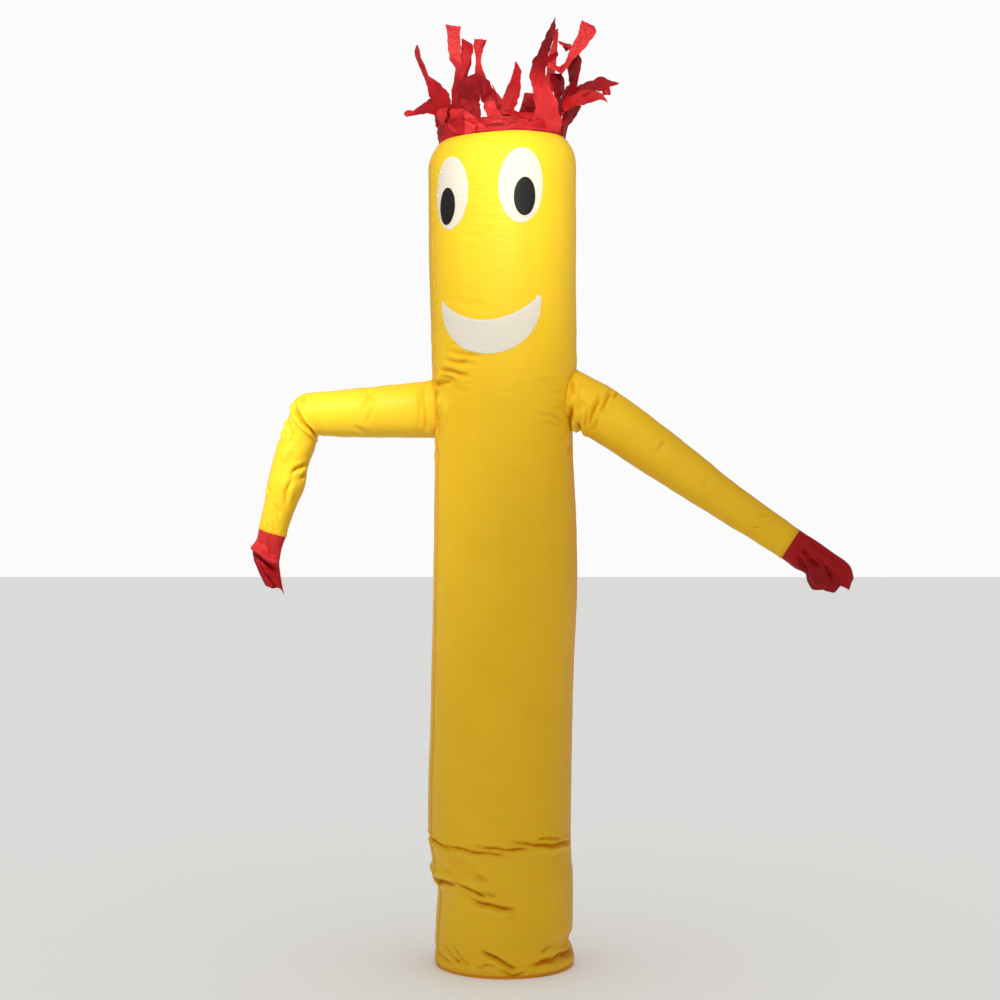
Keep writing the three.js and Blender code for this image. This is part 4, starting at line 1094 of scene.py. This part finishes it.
# At the back: degrees round to the root, width there, the way the flat side looks at the tip, and
# places as x, y, z and width
STREAMERS = [
    (105, 44, 60, (222, 28, 2700, 44), (246, 20, 2722, 18)),
    (121, 44, 84, (214, 84, 2800, 36), (226, 80, 2858, 30), (238, 78, 2904, 10)),
    (138, 50, 160, (154, 150, 2836, 36), (160, 152, 2908, 28), (178, 152, 2992, 6)),
    (160, 54, 176, (84, 196, 2760, 50), (92, 214, 2806, 40)),
    (182, 54, 190, (-30, 206, 2772, 52), (-50, 212, 2812, 38)),
    (205, 56, 196, (-112, 176, 2778, 58), (-106, 184, 2834, 48)),
    (224, 50, 206, (-140, 128, 2812, 32), (-116, 112, 2882, 36), (-114, 104, 2940, 30)),
    (244, 52, 240, (-200, 74, 2752, 44), (-222, 88, 2796, 26)),
]
SEWN_BELOW = 2700  # a streamer that starts higher than this hangs on another one
RIBBON = {"step": 5.0, "least_rows": 6, "columns": 13, "crumple": 7.0, "ragged": 2 / 12, "sewn": 34}
# Tone is painted light and shade: the back streamers are painted darker and lighter by turns
STREAMER = {"step": 5.0, "columns": 9, "crumple": 6.0, "first_seed": 60, "tone": 0.8}
# Crumples: the size of a facet, its middle depth, and how far apart the seeds lie in the noise
FACET = {"size": 30, "middle": 0.35, "seed_step": 3.7}
# They set in over these millimetres of a front strip, and over these rows of one at the back
CRUMPLED_OVER, CRUMPLED_ROWS, CRUMPLED_WIDTH = (4, 40), (4, 16), 40
RAGGED_LENGTH = 14  # of the waves in a strip's edge
FOOT_RISE = 3  # no strip hangs lower than this over the band's foot
LEAST_RADIUS = 60  # a root that starts nearer the middle isn't drawn out all the way
# How a streamer at the back twists, cups and bends to and fro, and how ragged its edges are
WIND = {"kinks": 12, "twist": 0.30, "cup": 0.16, "zigzag": 3.0, "ragged": 0.05}
# It turns from this share of its way on, and is wholly loose from here. Its kinks lie between the
# first place and its tip, or the second place if it is shorter.
TURNS_FROM, LOOSE_FROM, KINKS_OVER = 0.15, 130, (40, 60)
CUP_MIDDLE = 0.33  # a cupped strip bends about this height, so that it stays in place
ROOT_BEND = 200  # radius that the root of a streamer at the back is bent to
BEND_ROUNDING = 5  # rows over which a bend is rounded
BAND_COLUMNS, BAND_ROWS = 220, 16
# The band's cut edge as a share of its height, and how much it is crumpled and cut up and down
BAND_EDGE = {"share": 0.62, "out": 0.6, "crumple": 7.0, "cut": 34}
# The heights over which both set in, and their waves in degrees, and in millimetres up
CRUMPLE_SETS_IN, CUT_SETS_IN = (2, 30), (40, 70)
CRUMPLE_WAVE, CUT_WAVE = (6, 18), 8
BAND_GIRTH = 1250
PAINTED_SHINE = {"in_a_metre": 28, "share": 0.5}  # painted uneven shine of crumpled cloth, as lighter and darker spots


def band_point(deg, rise, out=0.0):
    """Places on the band, degrees round from the front and up from its foot."""
    turn = np.radians(deg)
    flare = BAND["flare"] * (1 - np.sin(turn)) * (rise / BAND["height"]) ** 2
    radius = BAND["inner"] + out + flare
    x, y = BAND_MIDDLE + radius * np.sin(turn), -radius * np.cos(turn)
    return np.stack(np.broadcast_arrays(x, y, BAND["base"] + rise + BAND["slope"] * x), -1)


def rounded(values):
    """The rows with their bends rounded: each is the mean of the rows about it."""
    kernel = np.ones(BEND_ROUNDING) / BEND_ROUNDING
    edge = BEND_ROUNDING // 2
    padded = np.pad(values, [(edge, edge)] + [(0, 0)] * (values.ndim - 1), mode="edge")
    return np.apply_along_axis(lambda line: np.convolve(line, kernel, "valid"), 0, padded)


def rows_at(steps, walked, rows):
    return np.stack([np.interp(steps, walked, values) for values in rows.T], 1)


def streamer_grid(root, wide, turn, places, dice):
    """A strip from the band through its places, which the wind twists and kinks."""
    start, leave = band_point(root, BAND["root_rise"]), band_point(root, BAND["height"])
    places = np.array([[*start, wide], [*leave, wide], *places], float)
    walked = distances(places[:, :3])
    steps = np.arange(0, walked[-1], STREAMER["step"])
    free = smooth(steps, BAND["height"] - BAND["root_rise"], LOOSE_FROM)
    kinks = dice.uniform(-1, 1, WIND["kinks"])
    first, least = KINKS_OVER
    spots = np.sort(dice.uniform(first, max(walked[-1], least), WIND["kinks"]))
    twist, cup, zigzag, ragged = (np.interp(steps, spots, np.roll(kinks, by)) for by in (0, 3, 5, 7))
    facing = np.radians(root + (turn - root) * smooth(steps / walked[-1], TURNS_FROM, 1.0))
    facing = rounded(facing + WIND["twist"] * free * twist)
    line = rounded(rows_at(steps, walked, places))
    along = unit(np.gradient(line[:, :3], axis=0))
    across = unit(np.cross(along, np.stack([np.sin(facing), -np.cos(facing), 0 * facing], 1)))
    normal = np.cross(across, along)
    s = np.linspace(-1, 1, STREAMER["columns"])
    half = line[:, 3] / 2 * (1 + WIND["ragged"] * ragged)
    aside = half[:, None] * s
    bow = (WIND["cup"] * cup * free * half)[:, None] * (s**2 - CUP_MIDDLE)
    bow = bow + (WIND["zigzag"] * zigzag * free)[:, None]
    bow = bow + (1 - free)[:, None] * (np.sqrt(np.maximum(ROOT_BEND**2 - aside**2, 0)) - ROOT_BEND)
    grid = line[:, None, :3] + across[:, None] * aside[..., None] + normal[:, None] * bow[..., None]
    return grid, np.stack(np.broadcast_arrays(aside, steps[:, None]), -1)


def crumpled(grid, seed, size, free):
    """Pushes a strip's places off their flat lie, in small facets with ridges between them."""
    normal = unit(np.cross(grid[:, -1] - grid[:, 0], np.gradient(grid.mean(1), axis=0)))
    spots = grid.reshape(-1, 3) / FACET["size"] + seed * FACET["seed_step"]
    cells = np.array([noise.voronoi(Vector(spot))[0][:2] for spot in spots])
    facets = (cells[:, 1] - cells[:, 0]).reshape(grid.shape[:2])
    return grid + normal[:, None] * (size * free * (facets - FACET["middle"]))[..., None]


def ribbon_grid(rows, number):
    """A strip through its rows of left and right edges, with its root bent round the band."""
    edges = np.array(rows, float)
    walked = distances((edges[:, :3] + edges[:, 3:]) / 2)
    count = max(RIBBON["least_rows"], int(walked[-1] / RIBBON["step"]))
    steps = np.linspace(0, walked[-1], count)
    left, right = np.split(rows_at(steps, walked, edges)[:, None], 2, -1)
    share = np.linspace(0, 1, RIBBON["columns"])[None, :, None]
    ragged = noise_at([(step / RAGGED_LENGTH, number, 0.5) for step in steps])[:, None, None]
    grid = left + (right - left) * share
    grid += (right - left) * RIBBON["ragged"] * ragged * (share - 0.5)
    x, y = grid[..., 0] - BAND_MIDDLE, grid[..., 1]
    sewn = (edges[0, [2, 5]].min() < SEWN_BELOW) * (1 - smooth(steps, 0, RIBBON["sewn"]))[:, None]
    stretch = 1 + sewn * (BAND_OUTSIDE / np.maximum(np.hypot(x, y), LEAST_RADIUS) - 1)
    grid[..., 0], grid[..., 1] = x * stretch + BAND_MIDDLE, y * stretch
    grid[..., 2] = np.maximum(grid[..., 2], BAND["base"] + BAND["slope"] * grid[..., 0] + FOOT_RISE)
    width = np.linalg.norm(right - left, axis=-1)
    free = smooth(steps, *CRUMPLED_OVER)[:, None] * np.minimum(1, width / CRUMPLED_WIDTH)
    uv = np.stack(np.broadcast_arrays((share[..., 0] - 0.5) * width, steps[:, None]), -1)
    return crumpled(grid, number, RIBBON["crumple"], free), uv


# %% [markdown]
# Each strip is a part of its own until its painted light and shade and its crumples are set. The band
# goes round the crown under them, cut and crumpled along its upper edge, and all of it is joined into
# one piece.

# %% Hair meshes
hair_parts = []


def hair_part(name, grid, uv, painted_shading, wrap=False):
    """A strip of hair. Its painted light and shade is given from root to tip."""
    part = grid_mesh(name, grid, uv, RED, wrap=wrap)
    share = np.repeat(np.linspace(0, 1, len(grid)), grid.shape[1])
    blotch = PAINTED_SHINE["share"] * noise_at([v.co * PAINTED_SHINE["in_a_metre"] for v in part.data.vertices])
    store_painted_shading(part, np.interp(share, np.linspace(0, 1, len(painted_shading)), painted_shading) + blotch)
    hair_parts.append(part)


dice = np.random.default_rng(7)
for number, (painted_shading, *rows) in enumerate(RIBBONS.values()):
    hair_part(f"ribbon_{number}", *ribbon_grid(rows, number), painted_shading)
for number, (root, wide, turn, *places) in enumerate(STREAMERS):
    grid, uv = streamer_grid(root, wide, turn, places, dice)
    free = smooth(np.arange(len(grid)), *CRUMPLED_ROWS)[:, None]
    grid = crumpled(grid, STREAMER["first_seed"] + number, STREAMER["crumple"], free)
    hair_part(f"streamer_{number}", grid, uv, (0.2, (-1) ** (number + 1) * STREAMER["tone"], -0.2))

band_deg = np.arange(BAND_COLUMNS) / BAND_COLUMNS * 360 - 180
band_rise = np.linspace(0, BAND["height"] * BAND_EDGE["share"], BAND_ROWS)[:, None]
wave_deg, wave_mm = CRUMPLE_WAVE
spots = [[(deg / wave_deg, rise / wave_mm, 4.2) for deg in band_deg] for rise in band_rise[:, 0]]
crumple = np.array([noise_at(row) for row in spots])
cut = BAND_EDGE["cut"] * noise_at([(deg / CUT_WAVE, 9.1, 1.0) for deg in band_deg])
out = BAND_EDGE["out"] + BAND_EDGE["crumple"] * crumple * smooth(band_rise, *CRUMPLE_SETS_IN)
band_grid = band_point(band_deg, band_rise + cut * smooth(band_rise, *CUT_SETS_IN), out)
band_uv = np.stack(np.broadcast_arrays(np.append(band_deg, 180) / 360 * BAND_GIRTH, band_rise), -1)
# The band is painted a little lighter at its foot and darker, as painted shade, towards its cut edge
hair_part("band", band_grid, band_uv, (-0.1, 0.3), wrap=True)
print("front ribbons", len(RIBBONS), "back streamers", len(STREAMERS))

# The strips are sewn into one piece
for part in hair_parts:
    walled(part, STRIP_MM, STRIP_EDGE_DEG)
with bpy.context.temp_override(active_object=hair_parts[0], selected_editable_objects=hair_parts):
    bpy.ops.object.join()
hair_cloth = hair_parts[0]
hair_cloth.name = "hair_cloth"
print("hair faces", len(hair_cloth.data.polygons))

# %% [markdown]
# ## The face
#
# Two ovals with darker ovals on them and a crescent are sewn flat on the tube. They follow its
# cloth, wrinkles and all, and puff a little between their stitched edges.

# %% Face patches
# Deg is how far round from the front the middle lies, z its height, and lean is in degrees
EYES = [
    {"side": "left", "deg": -43.5, "z": 2413, "across": 136, "tall": 231, "lean": 2.5},
    {"side": "right", "deg": 14.2, "z": 2425, "across": 142, "tall": 227, "lean": 2.6},
]
PUPILS = [
    {"side": "left", "deg": -46.5, "z": 2372, "across": 66, "tall": 118, "lean": 2.5},
    {"side": "right", "deg": 16.7, "z": 2391, "across": 68, "tall": 116, "lean": 2.6},
]
MOUTH = {"deg": -13, "z": 2077, "half": 174, "lower_sag": 166, "lean": -2.1}
MOUTH_TOP = {"half": 156, "sag": 62}
MOUTH_COLUMNS, TIP_COLUMNS, MOUTH_ROWS = 90, 8, 26
TIP_STEP = 2.0  # from one of the mouth's columns to the next, near its tips
OVAL_SIDES, EYE_RINGS, PUPIL_RINGS, RING_CROWDING = 96, 22, 14, 1.4
OVAL_HOLE = 0.004  # share of an oval inside its last ring, too small to see
PATCH = {"lift": 0.6, "cloth": 0.9, "puff": 1.0, "edge": 7}
PUPIL_GAP = 0.3  # between an eye's cloth and the pupil's
# The stitches draw a groove into a patch, this far inside its edge
GROOVE = {"inset": 4, "depth": 0.5, "half": 1.6}


def patch_place(patch, across, up):
    lean = math.radians(patch["lean"])
    x = across * math.cos(lean) + up * math.sin(lean)
    y = up * math.cos(lean) - across * math.sin(lean)
    return patch["deg"] + x / TUBE_GIRTH * 360, patch["z"] + y


def patch_piece(name, patch, across, up, inset, lift, material, wrap=False):
    """A patch from a grid of places on its cloth. Inset is each place's distance from the edge."""
    puff = PATCH["puff"] * smooth(inset, 0, PATCH["edge"])
    puff = puff - GROOVE["depth"] * blob(inset - GROOVE["inset"], GROOVE["half"])
    points = tube_point(*patch_place(patch, across, up), lift + PATCH["cloth"] + puff)
    uvs = np.stack([across, up], -1)
    uvs = np.concatenate([uvs, uvs[:, :1]], 1)
    return walled(grid_mesh(name, points, uvs, material, wrap=wrap), PATCH["cloth"])


def oval_piece(name, oval, lift, material, rings):
    turn = np.arange(OVAL_SIDES) / OVAL_SIDES * 2 * math.pi
    share = OVAL_HOLE + (1 - OVAL_HOLE) * (1 - np.linspace(0, 1, rings)[:, None] ** RING_CROWDING)
    across = share * oval["across"] / 2 * np.cos(turn)
    up = share * oval["tall"] / 2 * np.sin(turn)
    inset = (1 - share) * oval["across"] / 2 + 0 * up
    return patch_piece(f"{name}_{oval['side']}", oval, across, up, inset, lift, material, wrap=True)


def mouth_edges():
    """The crescent's lower and upper edges from tip to tip, each tip rounded by a half circle."""
    turn = np.radians(np.linspace(-90, 90, MOUTH_COLUMNS))
    lower = np.stack([MOUTH["half"] * np.sin(turn), -MOUTH["lower_sag"] * np.cos(turn)], 1)
    upper = np.stack([MOUTH_TOP["half"] * np.sin(turn), -MOUTH_TOP["sag"] * np.cos(turn) ** 2], 1)
    middle = (MOUTH["half"] + MOUTH_TOP["half"]) / 2
    radius = (MOUTH["half"] - MOUTH_TOP["half"]) / 2
    cap = np.radians(np.linspace(0, 88, TIP_COLUMNS)[1:])
    edges = []
    for edge, side in ((lower, 1), (upper, -1)):
        tip = np.stack([middle + side * radius * np.cos(cap), radius * np.sin(cap)], 1)
        edges.append(np.vstack([tip[::-1] * (-1, 1), edge, tip]))
    return edges


lower, upper = mouth_edges()
rows = (0.5 - 0.5 * np.cos(np.linspace(0, math.pi, MOUTH_ROWS)))[:, None]
across, up = (lower[:, i] + (upper - lower)[:, i] * rows for i in (0, 1))
from_tip = np.minimum(np.arange(len(lower)), np.arange(len(lower))[::-1]) * TIP_STEP
inset = np.minimum(np.hypot(*(upper - lower).T) * np.minimum(rows, 1 - rows), from_tip)
mouth_cloth = patch_piece("mouth_cloth", MOUTH, across, up, inset, PATCH["lift"], WHITE)
on_eye = PATCH["lift"] + PATCH["cloth"] + PATCH["puff"] + PUPIL_GAP
eye_cloths = [oval_piece("eye_cloth", eye, PATCH["lift"], WHITE, EYE_RINGS) for eye in EYES]
pupil_cloths = [oval_piece("pupil_cloth", pupil, on_eye, BLACK, PUPIL_RINGS) for pupil in PUPILS]
print("mouth faces", len(mouth_cloth.data.polygons))

# %% [markdown]
# ## Stitches
#
# Every seam is sewn with a lockstitch of polyester thread. The same short stitch repeats more than
# a thousand times along curves, which is what Geometry Nodes are for: one tree takes the lines of
# the seams, sets points along them at an even pitch, puts a stitch on each point, and makes plain
# mesh of it. Real stitches are three millimetres long, so they are drawn three times as coarse.

# %% The stitch tree
TREE_INPUTS = {"Seams": "Geometry", "Pitch": "Float", "Length": "Float", "Thickness": "Float"}
TREE_INPUTS.update({"Unevenness": "Float", "Seed": "Int", "Thread": "Material"})
STITCH = {"Pitch": 0.012, "Length": 0.0085, "Thickness": 0.0016, "Unevenness": 0.25, "Seed": 5}
STITCH_FACES = 20  # of the smallest icosphere


def stitch_tree():
    tree = bpy.data.node_groups.new("stitches along seams", "GeometryNodeTree")
    for name, kind in TREE_INPUTS.items():
        tree.interface.new_socket(name, in_out="INPUT", socket_type="NodeSocket" + kind)
    tree.interface.new_socket("Stitches", in_out="OUTPUT", socket_type="NodeSocketGeometry")
    given = add(tree, "NodeGroupInput").outputs
    lines = add(tree, "GeometryNodeMeshToCurve", {"Mesh": given["Seams"]}).outputs[0]
    paced = {"Curve": lines, "Length": given["Pitch"]}
    spaced = add(tree, "GeometryNodeResampleCurve", paced, mode="LENGTH").outputs[0]
    tangent = add(tree, "GeometryNodeInputTangent").outputs[0]
    lie = add(tree, "FunctionNodeAlignRotationToVector", {"Vector": tangent}, axis="Z").outputs[0]
    least = add(tree, "ShaderNodeMath", {0: 1.0, 1: given["Unevenness"]}, operation="SUBTRACT").outputs[0]
    spread = {2: least, 3: 1.0, "Seed": given["Seed"]}
    uneven = add(tree, "FunctionNodeRandomValue", spread, data_type="FLOAT").outputs[1]
    long = add(tree, "ShaderNodeMath", {0: given["Length"], 1: uneven}, operation="MULTIPLY").outputs[0]
    sides = {"X": given["Thickness"], "Y": given["Thickness"], "Z": long}
    size = add(tree, "ShaderNodeCombineXYZ", sides).outputs[0]
    stitch = add(tree, "GeometryNodeMeshIcoSphere", {"Radius": 0.5, "Subdivisions": 1}).outputs[0]
    on_line = {"Points": spaced, "Instance": stitch, "Rotation": lie, "Scale": size}
    placed = add(tree, "GeometryNodeInstanceOnPoints", on_line).outputs[0]
    real = add(tree, "GeometryNodeRealizeInstances", {"Geometry": placed}).outputs[0]
    round_ = add(tree, "GeometryNodeSetShadeSmooth", {"Geometry": real}).outputs[0]
    threaded = {"Geometry": round_, "Material": given["Thread"]}
    sewn = add(tree, "GeometryNodeSetMaterial", threaded).outputs[0]
    add(tree, "NodeGroupOutput", {"Stitches": sewn})
    return tree


STITCH_TREE = stitch_tree()
ITEMS = STITCH_TREE.interface.items_tree
SOCKETS = {item.name: item.identifier for item in ITEMS if item.in_out == "INPUT"}


def stitches(name, lines, thread):
    """Sews along lines of places. A line is closed where its first place comes again at its end."""
    places, edges = [], []
    for line in lines:
        numbers = len(places) + np.arange(len(line))
        if np.allclose(line[0], line[-1], atol=0.5):
            line = line[:-1]
            numbers[-1] = numbers[0]
        places += (line * MM + AXIS).tolist()
        edges += np.stack([numbers[:-1], numbers[1:]], 1).tolist()
    mesh = bpy.data.meshes.new(name)
    mesh.from_pydata(places, edges, [])
    made = make_object(name, mesh, thread)
    modifier = made.modifiers.new("stitches", "NODES")
    modifier.node_group = STITCH_TREE
    for key, value in {**STITCH, "Thread": thread}.items():
        modifier[SOCKETS[key]] = value
    print(name, len(applied(made).data.polygons) // STITCH_FACES, "stitches")
    return made


# %% Seam lines
ROUND = np.linspace(0, 360, 181)
UP = np.arange(40, 2560, 10)
HEM_ROWS_MM, CROWN_SEAM_MM, SIDE_ROWS_MM = (9, 17), 2587, (-6, 6)
SEAM_INSET = 6
RAISED, PATCH_RAISED = 0.5, 0.4  # how far a stitch's middle lies off the tube and off a patch
TIP_GAP = 6  # columns of the mouth's tips that the stitches leave out


def sleeve_line(limb, distance, out):
    return limb.point(ROUND, limb.share_at(distance), out)


def root_line(limb):
    start = limb.walk(limb.root_shares(ROUND, ROOT_OUT))
    return sleeve_line(limb, start + SEAM_INSET, SEAM_BEAD["height"] / 2 + RAISED)


def oval_line(oval, lift):
    turn = np.radians(ROUND)
    across = (oval["across"] / 2 - GROOVE["inset"]) * np.cos(turn)
    up = (oval["tall"] / 2 - GROOVE["inset"]) * np.sin(turn)
    return tube_point(*patch_place(oval, across, up), lift)


def moved_in(edge):
    """An edge of the mouth, moved to where its stitches go."""
    away = (lower + upper) / 2 - edge
    share = np.minimum(1, GROOVE["inset"] / np.hypot(*away.T))
    return (edge + away * share[:, None])[TIP_GAP:-TIP_GAP]


both = (left_arm, right_arm)
seam_lines = [tube_point(ROUND, z, RAISED) for z in (*HEM_ROWS_MM, CROWN_SEAM_MM)]
seam_lines += [tube_point(SEAM["deg"] + side / TUBE_GIRTH * 360, UP, RAISED) for side in SIDE_ROWS_MM]
seam_lines += [root_line(limb) for limb in both]
seam_lines += [sleeve_line(limb, limb.length - SEAM_INSET, SEAM_BEAD["height"] + RAISED) for limb in both]
seam_stitches = stitches("seam_stitches", seam_lines, THREAD_YELLOW)

on_patch = PATCH["lift"] + PATCH["cloth"] + PATCH_RAISED
low, high = moved_in(lower), moved_in(upper)
mouth_line = tube_point(*patch_place(MOUTH, *np.vstack([low, high[::-1], low[:1]]).T), on_patch)
patch_lines = [oval_line(eye, on_patch) for eye in EYES] + [mouth_line]
patch_stitches = stitches("patch_stitches", patch_lines, THREAD_WHITE)

# %% [markdown]
# ## Riding and replacing
#
# Every piece rides on the one body and stands for the CAD node of the same cloth.

# %% The table of pieces
TUBE_CUT = (1.457, 2.74)
ARM_CUT = (0.50, 0.86)
HAND_CUT = (0.30, 0.20)
HAIR_CUT = (1.27, 0.34)
PIECES = [
    (tube_cloth, "body_tube", "yellow_nylon", TUBE_CUT, None),
    (arm_cloth_left, "arm_left", "yellow_nylon", ARM_CUT, 0.35),
    (arm_cloth_right, "arm_right", "yellow_nylon", ARM_CUT, 0.36),
    (hand_cloth_left, "hand_left", "red_nylon", HAND_CUT, 0.045),
    (hand_cloth_right, "hand_right", "red_nylon", (0.36, 0.22), 0.06),
    (hair_cloth, "hair_band", "red_nylon", HAIR_CUT, 0.25),
    (eye_cloths[0], "eye_white_left", "white_nylon", (0.136, 0.231), 0.0247),
    (eye_cloths[1], "eye_white_right", "white_nylon", (0.142, 0.227), 0.0253),
    (pupil_cloths[0], "pupil_left", "black_nylon", (0.066, 0.118), 0.0061),
    (pupil_cloths[1], "pupil_right", "black_nylon", (0.068, 0.116), 0.0062),
    (mouth_cloth, "mouth_patch", "white_nylon", (0.348, 0.17), 0.032),
]
for piece, node, slot, cut, area in PIECES:
    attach(piece, "root")
    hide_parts(node)

for piece, slot in ((seam_stitches, "yellow_nylon"), (patch_stitches, "white_nylon")):
    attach(piece, "root")
